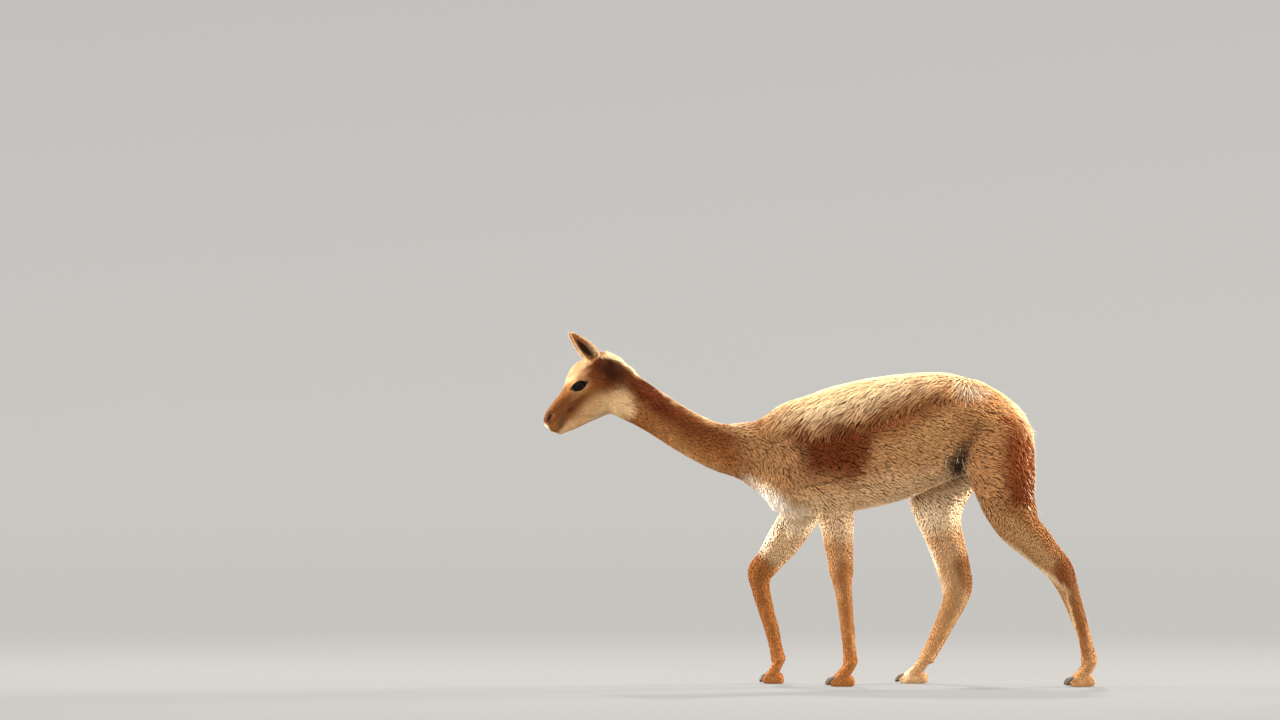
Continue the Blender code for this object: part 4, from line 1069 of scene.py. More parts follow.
# Lie, length and width of the hair over the body, in metres
coat = {
    "seed": 41,
    # length, width and how closely the tufts cover the skin, by height and by place along X
    "length": {
        "height": ([0.0, 0.08, 0.22, 0.38, 0.48, 0.56], [0.004, 0.006, 0.009, 0.014, 0.022, 0.032]),
        "along": ([-0.80, -0.73, -0.68, -0.62, -0.55, -0.30, -0.16],
                  [0.0035, 0.006, 0.009, 0.014, 0.020, 0.022, 0.034]),
    },
    "width": {
        "height": ([0.0, 0.10, 0.35, 0.50], [0.0018, 0.0022, 0.0030, 0.0052]),
        "along": ([-0.80, -0.70, -0.60, -0.35, -0.16], [0.0014, 0.0018, 0.0026, 0.0034, 0.0052]),
    },
    "cover": {
        "height": ([0.0, 0.10, 0.25, 0.35, 0.50], [0.55, 0.85, 1.35, 2.0, 4.0]),
        "along": ([-0.80, -0.70, -0.60, -0.35, -0.16], [1.0, 1.3, 2.4, 3.4, 4.0]),
    },
    "profile": (0.7, 1.0, 0.75, 0.0),   # width along a tuft
    "shortProfile": (0.8, 0.9, 0.0),    # the same for tufts of two segments, which these pieces have
    "short": ("coatHead", "coatFeet", "coatForeLegs", "coatHindLegs"),
    "clumpSize": 34,                    # tufts in one clump
    # how far a clump leans together, how much the lie swings to the side, and how far along the hair
    # its colour is read
    "gather": {"back": 0.60, "body": 0.12, "neck": 0.05, "legs": 0.0, "head": 0.0},
    "sway": {"back": 0.16, "body": 0.07, "neck": 0.05, "legs": 0.05, "head": 0.05},
    "streak": {"back": 0.030, "body": 0.012, "neck": 0.010, "legs": 0.006, "head": 0.003},
    # along a tuft: share of its length, of its height, and of its pull to the clump
    "stations": [(0.0, -0.25, 0.0), (0.34, 0.75, 0.30), (0.70, 1.0, 0.75)],
    "tip": {"back": 0.98, "body": 0.88, "neck": 0.88, "legs": 0.84, "head": 0.84},     # its height
    "flatness": 0.25,                   # thickness of a tuft, as a share of its width
    "lift": (0.94, 1.03),               # height of the tufts, as a share of the coat's depth
    "under": (0.34, 0.76),              # share of the tufts in the lower layer, and its height
    "clumpRise": (0.95, 0.08),          # the height varies by clump: least, and what chance adds
    "shade": 2.4,                       # painted shade: how much darker a parting or fold is painted
    "partDepth": 0.45,                  # how much lower the coat is in a parting
    "swayScale": 30.0,
    # what chance adds to the sway and the streaks, and the factors of length and width
    "vary": {"sway": 0.07, "streak": 0.25, "length": (0.7, 1.2), "width": (0.8, 1.2)},
    # where a region of the animal begins and is complete, along X or Z, or from "woolEdge"
    "regions": {
        "headX": (-0.56, -0.62), "neckX": (-0.18, -0.26), "trunkZ": (0.50, 0.60),
        "legZ": (0.54, 0.44), "backEdge": (-0.03, 0.02),
    },
    # which way the hair lies, before it is laid along the skin; on the back Y points away from the spine
    "lies": {
        "trunk": (0.90, 0, -0.42), "legs": (0.12, 0, -1.0), "back": (-0.74, 0.30, -0.62),
        "chest": (0.35, 0, -0.94), "neck": (0.86, 0, -0.52), "head": (-1.0, 0, 0.10),
    },
    # where one way takes over from another, as the regions
    "turns": {
        "legZ": (0.60, 0.42), "backFrontX": (-0.20, -0.12), "backRearX": (0.48, 0.38),
        "backEdge": (-0.045, 0.01), "rumpX": (0.50, 0.58), "rumpZ": (0.84, 0.76),
        "chestX": (-0.02, -0.14), "chestZ": (0.74, 0.62), "neckX": (-0.18, -0.28),
        "headX": (-0.60, -0.68),
    },
    "tones": {"base": 0.86, "tuft": 0.12, "along": 0.16, "clump": 0.12},    # how bright a tuft is; along darkens the root, partly deeper colour and partly painted shade, and brightens the tip as painted sunlight
    # the fold in front of the thigh, which is painted darker as shade
    "folds": [
        (0.500, 0.790), (0.470, 0.797), (0.440, 0.784), (0.417, 0.750), (0.405, 0.716),
        (0.352, 0.6685), (0.309, 0.596),
    ],
    "foldWidth": 0.010,
    "partWidth": 0.0032,                # half width of a parting in the wool
    # partings in the wool, as X and Z of points along each
    "creases": [
        [(0.500, 0.790), (0.470, 0.797), (0.440, 0.780), (0.424, 0.745), (0.414, 0.705), (0.404, 0.680)],
        [(0.446, 0.760), (0.434, 0.740), (0.436, 0.715)],
        [(-0.090, 0.665), (-0.096, 0.640), (-0.092, 0.612), (-0.070, 0.603)],
        [(-0.075, 0.578), (-0.045, 0.590), (0.010, 0.597), (0.055, 0.618), (0.085, 0.618)],
        [(0.055, 0.662), (0.085, 0.650), (0.105, 0.628)],
        [(0.065, 0.585), (0.120, 0.587), (0.135, 0.570)],
        [(0.150, 0.640), (0.162, 0.600), (0.170, 0.560)],
        [(0.176, 0.690), (0.186, 0.640), (0.196, 0.590)],
        [(-0.100, 0.720), (-0.112, 0.690), (-0.108, 0.670)],
        [(-0.140, 0.715), (-0.165, 0.670), (-0.180, 0.640)],
        [(-0.20, 0.755), (-0.14, 0.765), (-0.09, 0.785), (-0.05, 0.800)],
    ],
    # fine cracks, painted darker as shade like the partings: lines for each metre across and down, how wide,
    # and where they grow along X and Z
    "cracks": (34.0, 8.0, 0.060),
    "crackPlaces": [
        (1.0, (-0.27, -0.19), (-0.02, -0.09), (0.50, 0.56), (0.76, 0.70)),      # chest
        (0.6, (0.10, 0.16), (0.34, 0.26), (0.50, 0.54), (0.70, 0.64)),          # flank
    ],
}


def edgeAt(name, x):                    # the height of one of the body's edges
    return np.interp(x, *np.array(bodyMarks[name]).T)


def placeShares(where):                 # how much each root belongs to a region
    x, z = where[:, 0], where[:, 2]
    region = coat["regions"]
    trunk = step(z, *region["trunkZ"])
    headShare = step(x, *region["headX"]) * trunk
    neckShare = step(x, *region["neckX"]) * trunk * (1 - headShare)
    legShare = step(z, *region["legZ"])
    backLine = edgeAt("woolEdge", x)
    low, high = region["backEdge"]
    backShare = step(z, backLine + low, backLine + high) * (1 - neckShare) * (1 - headShare)
    bodyShare = np.clip(1 - headShare - neckShare - legShare - backShare, 0, 1)
    return {"head": headShare, "neck": neckShare, "legs": legShare, "back": backShare, "body": bodyShare}


def byPlace(table, shares):
    return sum(table[name] * shares[name] for name in table)


def awayFromLine(x, z, line):           # distance in the X-Z plane from a line of points
    away = np.full(len(x), 9.0)
    for (ax, az), (bx, bz) in zip(line, line[1:]):
        runX, runZ = bx - ax, bz - az
        t = np.clip(((x - ax) * runX + (z - az) * runZ) / (runX ** 2 + runZ ** 2), 0, 1)
        away = np.minimum(away, np.hypot(x - ax - t * runX, z - az - t * runZ))
    return away


def partingAt(where):                   # 1 in a parting of the wool, 0 elsewhere
    x, z = where[:, 0], where[:, 2]
    wobble = noiseAt(where, 60.0, 3.0) * 0.006
    parting = np.zeros(len(where))
    for line in coat["creases"]:
        away = awayFromLine(x + wobble, z + wobble, curveThrough(line, 4))
        parting = np.maximum(parting, step(away, coat["partWidth"] * 1.6, coat["partWidth"] * 0.4))
    across, down, width = coat["cracks"]
    slant = where * (across, across, down)
    slant[:, 0] += z * across * 0.35
    fine = np.abs(noiseAt(slant, 1.0, 5.0))
    broken = step(noiseAt(where, 26.0, 6.0), -0.05, 0.12)
    grown = np.zeros(len(where))
    for share, front, rear, low, high in coat["crackPlaces"]:
        here = step(x, *front) * step(x, *rear) * step(z, *low) * step(z, *high) * share
        grown = np.maximum(grown, here)
    return np.maximum(parting, step(fine, width, width * 0.3) * broken * grown)


def foldAt(where):                      # 1 along the fold in front of the thigh, 0 elsewhere
    x, y, z = where.T
    away = awayFromLine(x, z, curveThrough(coat["folds"], 4))
    return step(away, coat["foldWidth"], 0.0) * step(np.abs(y), 0.05, 0.08)


def leastOf(table, where):
    return np.minimum(np.interp(where[:, 2], *table["height"]), np.interp(where[:, 0], *table["along"]))


def unit(rows):
    return rows / np.maximum(np.linalg.norm(rows, axis=1, keepdims=True), 1e-9)


def without(rows, along):               # rows less their part along a direction
    return rows - along * np.sum(rows * along, axis=1)[:, None]


def nearestOn(tree, rows):              # the nearest places on the skin, and its normals there
    near = [tree.find_nearest(row)[:2] for row in rows]
    return np.array([hit[0] for hit in near]), np.array([hit[1] for hit in near])


def blend(first, second, share):
    return first + (second - first) * share[:, None]


def lieAt(where, normals):              # the way the hair lies, along the skin
    x, y, z = where.T
    lies, turn = coat["lies"], coat["turns"]
    rows = np.zeros((len(where), 3))
    legs = rows + lies["legs"]
    back = rows + lies["back"]
    back[:, 1] *= np.sign(y)
    backLine = edgeAt("woolEdge", x)
    low, high = turn["backEdge"]
    onBack = step(x, *turn["backFrontX"]) * step(x, *turn["backRearX"])
    onBack = onBack * step(z, backLine + low, backLine + high)
    lie = blend(blend(rows + lies["trunk"], legs, step(z, *turn["legZ"])), back, onBack)
    lie = blend(lie, legs, step(x, *turn["rumpX"]) * step(z, *turn["rumpZ"]))
    lie = blend(lie, rows + lies["chest"], step(x, *turn["chestX"]) * step(z, *turn["chestZ"]))
    lie = blend(lie, rows + lies["neck"], step(x, *turn["neckX"]))
    head3 = headMatrix().to_3x3()
    lie = blend(lie, rows + np.array(head3 @ Vector(lies["head"])), step(x, *turn["headX"]))
    earLie = np.array((head3 @ earInHead().to_3x3()).col[2])
    return unit(without(blend(lie, rows + earLie, onEar(where)), normals))


def coverAt(middle):                    # tufts to a square metre
    size = leastOf(coat["length"], middle) * leastOf(coat["width"], middle) * 0.6
    return leastOf(coat["cover"], middle) / size


def scatter(mesh, chance, density):     # roots spread over the skin
    mesh.calc_loop_triangles()
    corners = np.empty(len(mesh.loop_triangles) * 3, dtype=np.int32)
    mesh.loop_triangles.foreach_get("vertices", corners)
    corners = corners.reshape(-1, 3)
    where, normals = vertexRows(mesh, "co"), vertexRows(mesh, "normal")
    a, b, c = (where[corners[:, k]] for k in range(3))
    area = np.linalg.norm(np.cross(b - a, c - a), axis=1) / 2
    middle = (a + b + c) / 3
    wanted = area * density(middle) * barePlaces(middle)
    total = np.cumsum(wanted)
    picks = np.searchsorted(total, (np.arange(int(total[-1])) + chance.random(int(total[-1]))))
    picks = np.clip(picks, 0, len(corners) - 1)
    r, s = np.sqrt(chance.random(len(picks))), chance.random(len(picks))
    weights = np.stack([1 - r, r * (1 - s), r * s], axis=1)
    chosen = corners[picks]
    roots = np.einsum("ij,ijk->ik", weights, where[chosen])
    return roots, unit(np.einsum("ij,ijk->ik", weights, normals[chosen]))


def inHead(where, side=1.0):
    matrix = np.array(headMatrix(side).inverted())
    return where @ matrix[:3, :3].T + matrix[:3, 3]


def barePlaces(where):                  # 0 where no hair grows, 1 elsewhere
    keep = np.ones(len(where))
    for side in sides.values():
        local = inHead(where, side) - eye["centre"]
        c, s = math.cos(eye["slant"]), math.sin(eye["slant"])
        along = local[:, 0] * c + local[:, 2] * s
        across = -local[:, 0] * s + local[:, 2] * c
        ring = np.hypot(along / eye["rim"][0], across / eye["rim"][1])
        near = np.abs(local[:, 1]) < 0.03
        keep *= np.where(near, step(ring, 0.92, 1.05), 1.0)
        local = inHead(where, side) - head["nostril"][0]
        keep *= step(np.linalg.norm(local / head["nostrilBare"], axis=1), 0.9, 1.15)
    keep *= np.where(where[:, 2] < 0.004, 0.0, 1.0)
    return keep


def tuftMesh(name, spine, normals, width, flatness, profile):
    # spine: tufts x stations x 3; each is a closed blade with a ridge, drawn out to a point
    count, stations = spine.shape[:2]
    run = np.gradient(spine, axis=1)
    run /= np.maximum(np.linalg.norm(run, axis=2, keepdims=True), 1e-9)
    aside = np.cross(run, normals[:, None, :])
    aside /= np.maximum(np.linalg.norm(aside, axis=2, keepdims=True), 1e-9)
    up = np.cross(aside, run)
    half = width[:, None, None] * np.array(profile)[None, :, None] / 2
    high = (width * flatness)[:, None, None] * np.array(profile)[None, :, None]
    rings = np.stack([spine + aside * half, spine + up * high, spine - aside * half], axis=2)
    verts = np.concatenate([rings[:, :-1].reshape(count, -1, 3), spine[:, -1:]], axis=1)
    faces = [(0, 2, 1)]
    for k in range(stations - 2):
        for i in range(3):
            j = (i + 1) % 3
            a, b, c, d = 3 * k + i, 3 * k + j, 3 * k + 3 + j, 3 * k + 3 + i
            faces.extend([(a, b, c), (a, c, d)])
    last, tip = 3 * (stations - 2), 3 * (stations - 1)
    faces.extend([(last + i, last + (i + 1) % 3, tip) for i in range(3)])
    size = tip + 1
    index = (np.array(faces)[None] + (np.arange(count) * size)[:, None, None]).reshape(-1, 3)
    mesh = bpy.data.meshes.new(name)
    mesh.vertices.add(count * size)
    mesh.vertices.foreach_set("co", verts.reshape(-1))
    mesh.loops.add(len(index) * 3)
    mesh.loops.foreach_set("vertex_index", index.reshape(-1))
    mesh.polygons.add(len(index))
    mesh.polygons.foreach_set("loop_start", np.arange(len(index)) * 3)
    mesh.update(calc_edges=True)
    mesh.shade_smooth()
    along = np.append(np.repeat(np.linspace(0, 1, stations)[:-1], 3), 1.0)
    return mesh, size, index, np.tile(along, count)


def addPointData(mesh, name, values):   # one value or one row of three for each point
    kind, slot = ("FLOAT_VECTOR", "vector") if values.ndim > 1 else ("FLOAT", "value")
    layer = mesh.attributes.new(name, kind, "POINT")
    layer.data.foreach_set(slot, values.reshape(-1).astype(np.float32))


def earPlaces(where, side):             # places in an ear's own frame
    matrix = np.array((headMatrix(side) @ earInHead()).inverted())
    return where @ matrix[:3, :3].T + matrix[:3, 3], matrix[:3, :3]


def hollowAt(where, normals):           # 1 on the inner face of an ear's cup
    inner = np.zeros(len(where))
    for side in sides.values():
        local, turn = earPlaces(where, side)
        facing = (normals @ turn.T)[:, 1]
        x, y, z = local.T
        wide, deep, low, high = ear["hollowBox"]
        near = (np.abs(x) < wide) & (np.abs(y) < deep) & (z > low) & (z < ear["length"] * high)
        inner = np.maximum(inner, np.where(near, step(facing, 0.0, 0.35), 0.0))
    return inner


def onEar(where):                       # 1 on an ear above its root
    share = np.zeros(len(where))
    for side in sides.values():
        x, y, z = earPlaces(where, side)[0].T
        wide, deep, low, high = ear["hairBox"]
        near = (np.abs(x) < wide) & (np.abs(y) < deep)
        share = np.maximum(share, np.where(near, step(z, *low) * step(z, *high), 0.0))
    return share


unwrap = {
    "faces": 9000,
    "angle": 1.15,
    "margin": 0.006,
    "patch": 0.003,                     # side of the map's square that one tuft takes
}


class Unwrap:                           # the skin's own shape laid flat, for the coat's bake map
    def __init__(self, mesh):
        holder = place("unwrap", mesh.copy())
        decimate = holder.modifiers.new("decimate", "DECIMATE")
        decimate.ratio = unwrap["faces"] / len(mesh.loop_triangles)
        decimate.use_collapse_triangulate = True
        holder = place("unwrap", evaluated(holder))
        bpy.context.view_layer.objects.active = holder
        holder.select_set(True)
        bpy.ops.object.mode_set(mode="EDIT")
        bpy.ops.mesh.select_all(action="SELECT")
        bpy.ops.uv.smart_project(angle_limit=unwrap["angle"], island_margin=unwrap["margin"])
        bpy.ops.object.mode_set(mode="OBJECT")
        bm = bmesh.new()
        bm.from_mesh(holder.data)
        layer = bm.loops.layers.uv.active
        self.where = np.array([[loop.vert.co[:] for loop in face.loops] for face in bm.faces])
        self.flat = np.array([[loop[layer].uv[:] for loop in face.loops] for face in bm.faces])
        self.tree = BVHTree.FromBMesh(bm)
        bm.free()
        bpy.data.objects.remove(holder, do_unlink=True)

    def at(self, roots):                # places on the flat map
        faces = np.array([self.tree.find_nearest(row)[2] for row in roots])
        (a, b, c), flat = self.where[faces].transpose(1, 0, 2), self.flat[faces]
        ab, ac, ap = b - a, c - a, roots - a
        pairs = ((ab, ab), (ab, ac), (ac, ac), (ap, ab), (ap, ac))
        d00, d01, d11, d20, d21 = (np.sum(p * q, axis=1) for p, q in pairs)
        base = np.maximum(d00 * d11 - d01 * d01, 1e-18)
        v = np.clip((d11 * d20 - d01 * d21) / base, 0, 1)
        w = np.clip((d00 * d21 - d01 * d20) / base, 0, 1 - v)
        weights = np.stack([1 - v - w, v, w], axis=1)
        return np.sum(flat * weights[:, :, None], axis=1)


def finishTufts(name, tufts, colorRoots, tone, hollow, flat, material):
    # per point: where its colour is read, then tuft tone, place along the tuft, clump tone
    mesh, size, index, along = tufts
    addPointData(mesh, "root", np.repeat(colorRoots, size, axis=0))
    strand = np.stack([np.repeat(tone[:, 0], size), along, np.repeat(tone[:, 1], size)], axis=1)
    addPointData(mesh, "strand", strand)
    addPointData(mesh, "hollow", np.repeat(hollow, size))
    layer = mesh.uv_layers.new(name="OFBake")
    corner = index.reshape(-1)
    local = np.stack([(corner % size) % 3 - 1, along[corner] * 2 - 1], axis=1) * (unwrap["patch"] / 2)
    uv = np.clip(flat[corner // size] + local, 0.0005, 0.9995)
    layer.data.foreach_set("uv", uv.reshape(-1).astype(np.float32))
    mesh.materials.append(material)
    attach(place(name, mesh), "root")
    print("coat:", name, len(index), "triangles")


def growCoat(skin, tree):
    chance = np.random.default_rng(coat["seed"])
    roots, normals = scatter(skin, chance, coverAt)
    count = len(roots)
    print("roots:", count)
    lie = lieAt(roots, normals)
    shares = placeShares(roots)
    vary = coat["vary"]
    sway = noiseAt(roots, coat["swayScale"]) * byPlace(coat["sway"], shares) * 2
    sway += chance.normal(0, vary["sway"], count)
    beside = np.cross(normals, lie)
    lie = lie * np.cos(sway)[:, None] + beside * np.sin(sway)[:, None]
    depth = depthAt(roots)
    length = leastOf(coat["length"], roots) * chance.uniform(*vary["length"], count)
    width = leastOf(coat["width"], roots) * chance.uniform(*vary["width"], count)
    clumps = chance.choice(count, count // coat["clumpSize"], replace=False)
    finder = KDTree(len(clumps))
    for k, row in enumerate(roots[clumps]):
        finder.insert(row, k)
    finder.balance()
    own = np.array([finder.find(row)[1] for row in roots])
    gather = roots[clumps[own]] - roots
    reach = np.linalg.norm(gather, axis=1)
    gather = without(gather, lie)
    pulled = np.minimum(1.0, length * 0.8 / np.maximum(reach, 1e-6)) * byPlace(coat["gather"], shares)
    gather *= pulled[:, None]
    clumpTone = chance.random(len(clumps))[own]
    parting = partingAt(roots)
    # partings, cracks and the thigh fold darken the tufts: painted shade
    shade = parting * coat["shade"] + foldAt(roots) * coat["shade"]
    tone = np.stack([chance.random(count) * (1 - parting), clumpTone - shade], axis=1)
    share, height = coat["under"]
    under = chance.random(count) < share
    layer = np.where(under, height, chance.uniform(*coat["lift"], count))
    least, more = coat["clumpRise"]
    lift = depth * layer * (least + more * clumpTone) * (1 - coat["partDepth"] * parting)
    spine = []
    for part, rise, pull in coat["stations"] + [(1.0, byPlace(coat["tip"], shares), 1.0)]:
        target, normal = roots + lie * (length * part)[:, None] + gather * pull, normals
        if part:
            target, normal = nearestOn(tree, target)
        spine.append(target + normal * (lift * rise)[:, None])
    drift = (clumpTone - 0.5 + chance.normal(0, vary["streak"], count)) * byPlace(coat["streak"], shares)
    colorRoots = roots - lie * drift[:, None]
    return roots, colorRoots, normals, np.stack(spine, axis=1), width, tone, hollowAt(roots, normals)


def coatParts(roots):                   # the piece that each tuft belongs to
    x, z = roots[:, 0], roots[:, 2]
    names = np.full(len(roots), "coatBarrel", dtype=object)
    names[(x < 0.02)] = "coatChest"
    names[(x > 0.22)] = "coatLoin"
    names[(x > 0.42)] = "coatRump"
    names[(z < 0.56) & (x > 0.20)] = "coatHindLegs"
    names[(z < 0.50) & (x <= 0.20)] = "coatForeLegs"
    names[(z < 0.22)] = "coatFeet"
    names[(x < -0.20) & (z > 0.56)] = "coatNeck"
    names[(x < -0.60) & (z > 0.56)] = "coatHead"
    return names


def makeCoat(skin, tree, flatMap, material):
    roots, colorRoots, normals, spine, width, tone, hollow = growCoat(skin, tree)
    names = coatParts(roots)
    for name in sorted(set(names)):
        mine = names == name
        path, profile = spine[mine], coat["profile"]
        if name in coat["short"]:
            path, profile = path[:, [0, 2, 3]], coat["shortProfile"]
        tufts = tuftMesh(name, path, normals[mine], width[mine], coat["flatness"], profile)
        finishTufts(name, tufts, colorRoots[mine], tone[mine], hollow[mine],
                    flatMap.at(roots[mine]), material)


# Longer hair. Its roots: X, half width in Y, Z, the way the skin faces there, and how many grow on a
# square metre. Its form: how far it stands off the skin, hangs and waves, and how far it keeps to the skin
locks = {
    "backLocks": {
        "x": (-0.17, 0.44), "y": 0.15, "z": (0.70, 0.93), "facing": (-1, 1, -0.2, 1), "count": 15000,
        "length": (0.030, 0.058), "width": 0.0036, "lie": None, "stand": 0.0, "hang": 0.0,
        "wave": 0.16, "hug": 1.0, "above": "woolEdge"},
    "bibLocks": {
        "x": (-0.250, -0.085), "y": 0.085, "z": (0.46, 0.62), "facing": (-1, 1, -1, 0.30), "count": 26000,
        "length": (0.030, 0.062), "width": 0.0034, "lie": (0.42, 0, -0.90), "stand": 0.14, "hang": 0.12,
        "wave": 0.10, "hug": 0.0},
    "tailLocks": {
        "x": (0.545, 0.68), "y": 0.060, "z": (0.46, 0.74), "facing": (0.2, 1, -1, 1), "count": 16000,
        "length": (0.030, 0.055), "width": 0.0034, "lie": (0.10, 0, -1.0), "stand": 0.10, "hang": 0.20,
        "wave": 0.10, "hug": 0.0},
    "rimHair": {
        "x": (-0.640, 0.640), "y": 0.12, "z": (0.62, 1.0), "facing": (-1, 1, 0.66, 1), "count": 20000,
        "length": (0.012, 0.026), "width": 0.0013, "lie": (0.90, 0, -0.30), "stand": 0.50, "hang": 0.05,
        "wave": 0.16, "hug": 0.0},
    "rumpHair": {
        "x": (0.50, 0.66), "y": 0.13, "z": (0.52, 0.86), "facing": (0.45, 1, -1, 1), "count": 20000,
        "length": (0.016, 0.034), "width": 0.0016, "lie": (0.35, 0, -0.94), "stand": 0.50, "hang": 0.08,
        "wave": 0.20, "hug": 0.0},
    "bellyHair": {
        "x": (-0.10, 0.42), "y": 0.09, "z": (0.44, 0.60), "facing": (-1, 1, -1, -0.5), "count": 9000,
        "length": (0.012, 0.024), "width": 0.0014, "lie": (0.80, 0, -0.50), "stand": 0.30, "hang": 0.10,
        "wave": 0.16, "hug": 0.0},
    "groinHair": {
        "x": (0.355, 0.435), "y": 0.12, "z": (0.60, 0.72), "facing": (-1, 1, -1, 1), "count": 7000,
        "length": (0.025, 0.050), "width": 0.0016, "lie": (-0.25, 0, -0.97), "stand": 0.20, "hang": 0.10,
        "wave": 0.25, "hug": 0.0},
}
lockForm = {
    "shares": (0.0, 0.22, 0.45, 0.68, 0.86, 1.0),       # where along a lock its sections are
    "profile": (0.8, 1.0, 0.95, 0.75, 0.45, 0.0),       # their width
    "flatness": 0.35,
    "rootAt": (0.4, 0.002),             # height of a root: share of the coat's depth, less this
    "edgeMargin": 0.012,                # how far below the wool's edge the locks still grow
}


def finishLocks(name, spine, normals, width, roots, tone, flatMap, material):
    tufts = tuftMesh(name, np.stack(spine, axis=1), normals, width, lockForm["flatness"],
                     lockForm["profile"])
    finishTufts(name, tufts, roots, tone, np.zeros(len(roots)), flatMap.at(roots), material)


def growLocks(name, skin, tree, flatMap, material):
    recipe = locks[name]
    chance = np.random.default_rng(len(name) * 7 + 3)
    roots, normals = scatter(skin, chance, lambda middle: np.full(len(middle), float(recipe["count"])))
    x, y, z = roots.T
    backX, frontX, low, high = recipe["facing"]
    keep = (x > recipe["x"][0]) & (x < recipe["x"][1]) & (np.abs(y) < recipe["y"])
    keep &= (z > recipe["z"][0]) & (z < recipe["z"][1]) & (normals[:, 0] >= backX) & (normals[:, 0] <= frontX)
    keep &= (normals[:, 2] >= low) & (normals[:, 2] <= high) & (onEar(roots) < 0.5)
    if "above" in recipe:
        keep &= z > edgeAt(recipe["above"], x) - lockForm["edgeMargin"]
    roots, normals = roots[keep], normals[keep]
    count = len(roots)
    lie = np.tile(recipe["lie"], (count, 1)).astype(float) if recipe["lie"] else lieAt(roots, normals)
    lie = without(lie, normals)
    stand = recipe["stand"] * chance.uniform(0.4, 1.3, count)
    run = unit(unit(lie) * np.sqrt(np.maximum(1 - stand ** 2, 0.05))[:, None] + normals * stand[:, None])
    length = chance.uniform(*recipe["length"], count)
    aside = np.cross(run, normals)
    wave = noiseAt(roots, 34.0) * 2 * recipe["wave"] + chance.normal(0, recipe["wave"] * 0.5, count)
    depth = depthAt(roots)
    share, sunk = lockForm["rootAt"]
    start = roots + normals * (depth * share - sunk)[:, None]
    spine = []
    for t in lockForm["shares"]:
        spot = start + run * (length * t)[:, None] + aside * (length * wave * t * t)[:, None]
        spot += np.array((0, 0, -1.0)) * (length * recipe["hang"] * t * t)[:, None]
        if recipe["hug"] and t:         # kept on the coat's surface
            rise = depth * (0.6 + 0.55 * min(1.0, 2 * t)) + length * 0.05 * t
            spot, normal = nearestOn(tree, spot)
            spot += normal * rise[:, None]
        spine.append(spot)
    width = recipe["width"] * chance.uniform(0.7, 1.2, count)
    tone = np.stack([chance.random(count), 0.5 + noiseAt(roots, 60.0, 4.0)], axis=1)
    finishLocks(name, spine, normals, width, roots, tone, flatMap, material)


lashes = {
    "count": 24,                        # on each eye
    "ring": (0.0215, 0.0132),           # half sizes of the oval that they grow on
    "from": 30,                         # degrees along it, from the front corner
    "to": 120,
    "length": (0.005, 0.008),
    "width": 0.0010,
    "sunk": 0.001,
    "outside": 0.05,                    # from where the skin is looked for
    "run": (14, 0.9, 0.10),             # fanned out along the muzzle, outward, upward
    "bend": (6, -0.2, 0.9),             # and the same for how it curves
}
earHair = {
    "count": 90,                        # on each ear
    "along": (0.10, 0.84),              # where on the ear it begins, and over what share of it
    "rim": 0.94,                        # share of the half width
    "length": (0.008, 0.016),
    "width": 0.0012,
    "run": (0.15, 0.30, 1.0),           # inward from the rim, over the hollow, along the ear
    "bend": (0.1, 0.7),                 # least and most that it curves inward
}


def placedLocks(name, recipe, places, flatMap, material, chance):
    # places: root, run, bend and facing of each hair
    roots, runs, bends, normals = (np.array(rows) for rows in zip(*places))
    length = chance.uniform(*recipe["length"], len(roots))
    spine = [roots + runs * (length * t)[:, None] + bends * (length * 0.5 * t * t)[:, None]
             for t in lockForm["shares"]]
    tone = chance.random((len(roots), 2))
    width = np.full(len(roots), recipe["width"])
    finishLocks(name, spine, normals, width, roots, tone, flatMap, material)


def growLashes(tree, flatMap, material):
    places = []
    c, s = math.cos(eye["slant"]), math.sin(eye["slant"])
    fan, out, up = lashes["run"]
    bend, inward, lifted = lashes["bend"]
    for side in sides.values():
        toWorld = headMatrix(side)
        turn = toWorld.to_3x3()
        for k in range(lashes["count"]):
            share = (lashes["to"] - lashes["from"]) * k / (lashes["count"] - 1)
            angle = math.radians(lashes["from"] + share)
            du, dv = lashes["ring"][0] * math.cos(angle), lashes["ring"][1] * math.sin(angle)
            spot = Vector(eye["centre"])
            spot += Vector((du * c - dv * s, lashes["outside"], du * s + dv * c))
            hit = tree.ray_cast(toWorld @ spot, turn @ Vector((0, -1, 0)))
            run = (turn @ Vector((du * fan, out, up))).normalized()
            places.append((hit[0] - hit[1] * lashes["sunk"], run,
                           turn @ Vector((du * bend, inward, lifted)), turn @ Vector((0, 0, 1))))
    placedLocks("lashes", lashes, places, flatMap, material, np.random.default_rng(5))


def growEarHair(flatMap, material):     # along both rims of each ear, leaning over the hollow
    chance = np.random.default_rng(6)
    places = []
    first, span = earHair["along"]
    inward, over, along = earHair["run"]
    for side in sides.values():
        toWorld = headMatrix(side) @ earInHead()
        turn = toWorld.to_3x3()
        for k in range(earHair["count"]):
            share = first + span * (k + chance.random()) / earHair["count"]
            edge = chance.choice((-1.0, 1.0))
            half = ear["halfWidth"] * float(np.interp(share, *np.array(ear["leaf"]).T))
            spot = Vector((edge * half * earHair["rim"], ear["bend"] * share ** 2, ear["length"] * share))
            run = (turn @ Vector((-edge * inward, over, along))).normalized()
            bend = turn @ Vector((-edge * chance.uniform(*earHair["bend"]), 0, 0))
            places.append((toWorld @ spot, run, bend, turn @ Vector((edge, 0.3, 0))))
    placedLocks("earHair", earHair, places, flatMap, material, chance)


def coatMaterial():
    material, shader, start = newMaterial("coat", 0.85, specular=0.08)
    root = start.node("Attribute", {"attribute_name": "root"}, output=1)
    strand = start.node("Attribute", {"attribute_name": "strand"}, output=1)
    tuftTone, along, clumpTone = strand.split()
    hollow = start.node("Attribute", {"attribute_name": "hollow"}, output=2)
    share = coat["tones"]
    # darker at the root as deeper colour and painted shade, paler at the tip as painted sunlight; partings
    # and folds are painted shade
    tone = share["base"] + tuftTone * share["tuft"] + along * share["along"] + clumpTone * share["clump"]
    markings(root, hollow).scaled(tone).feed(shader, "Base Color")
    return material


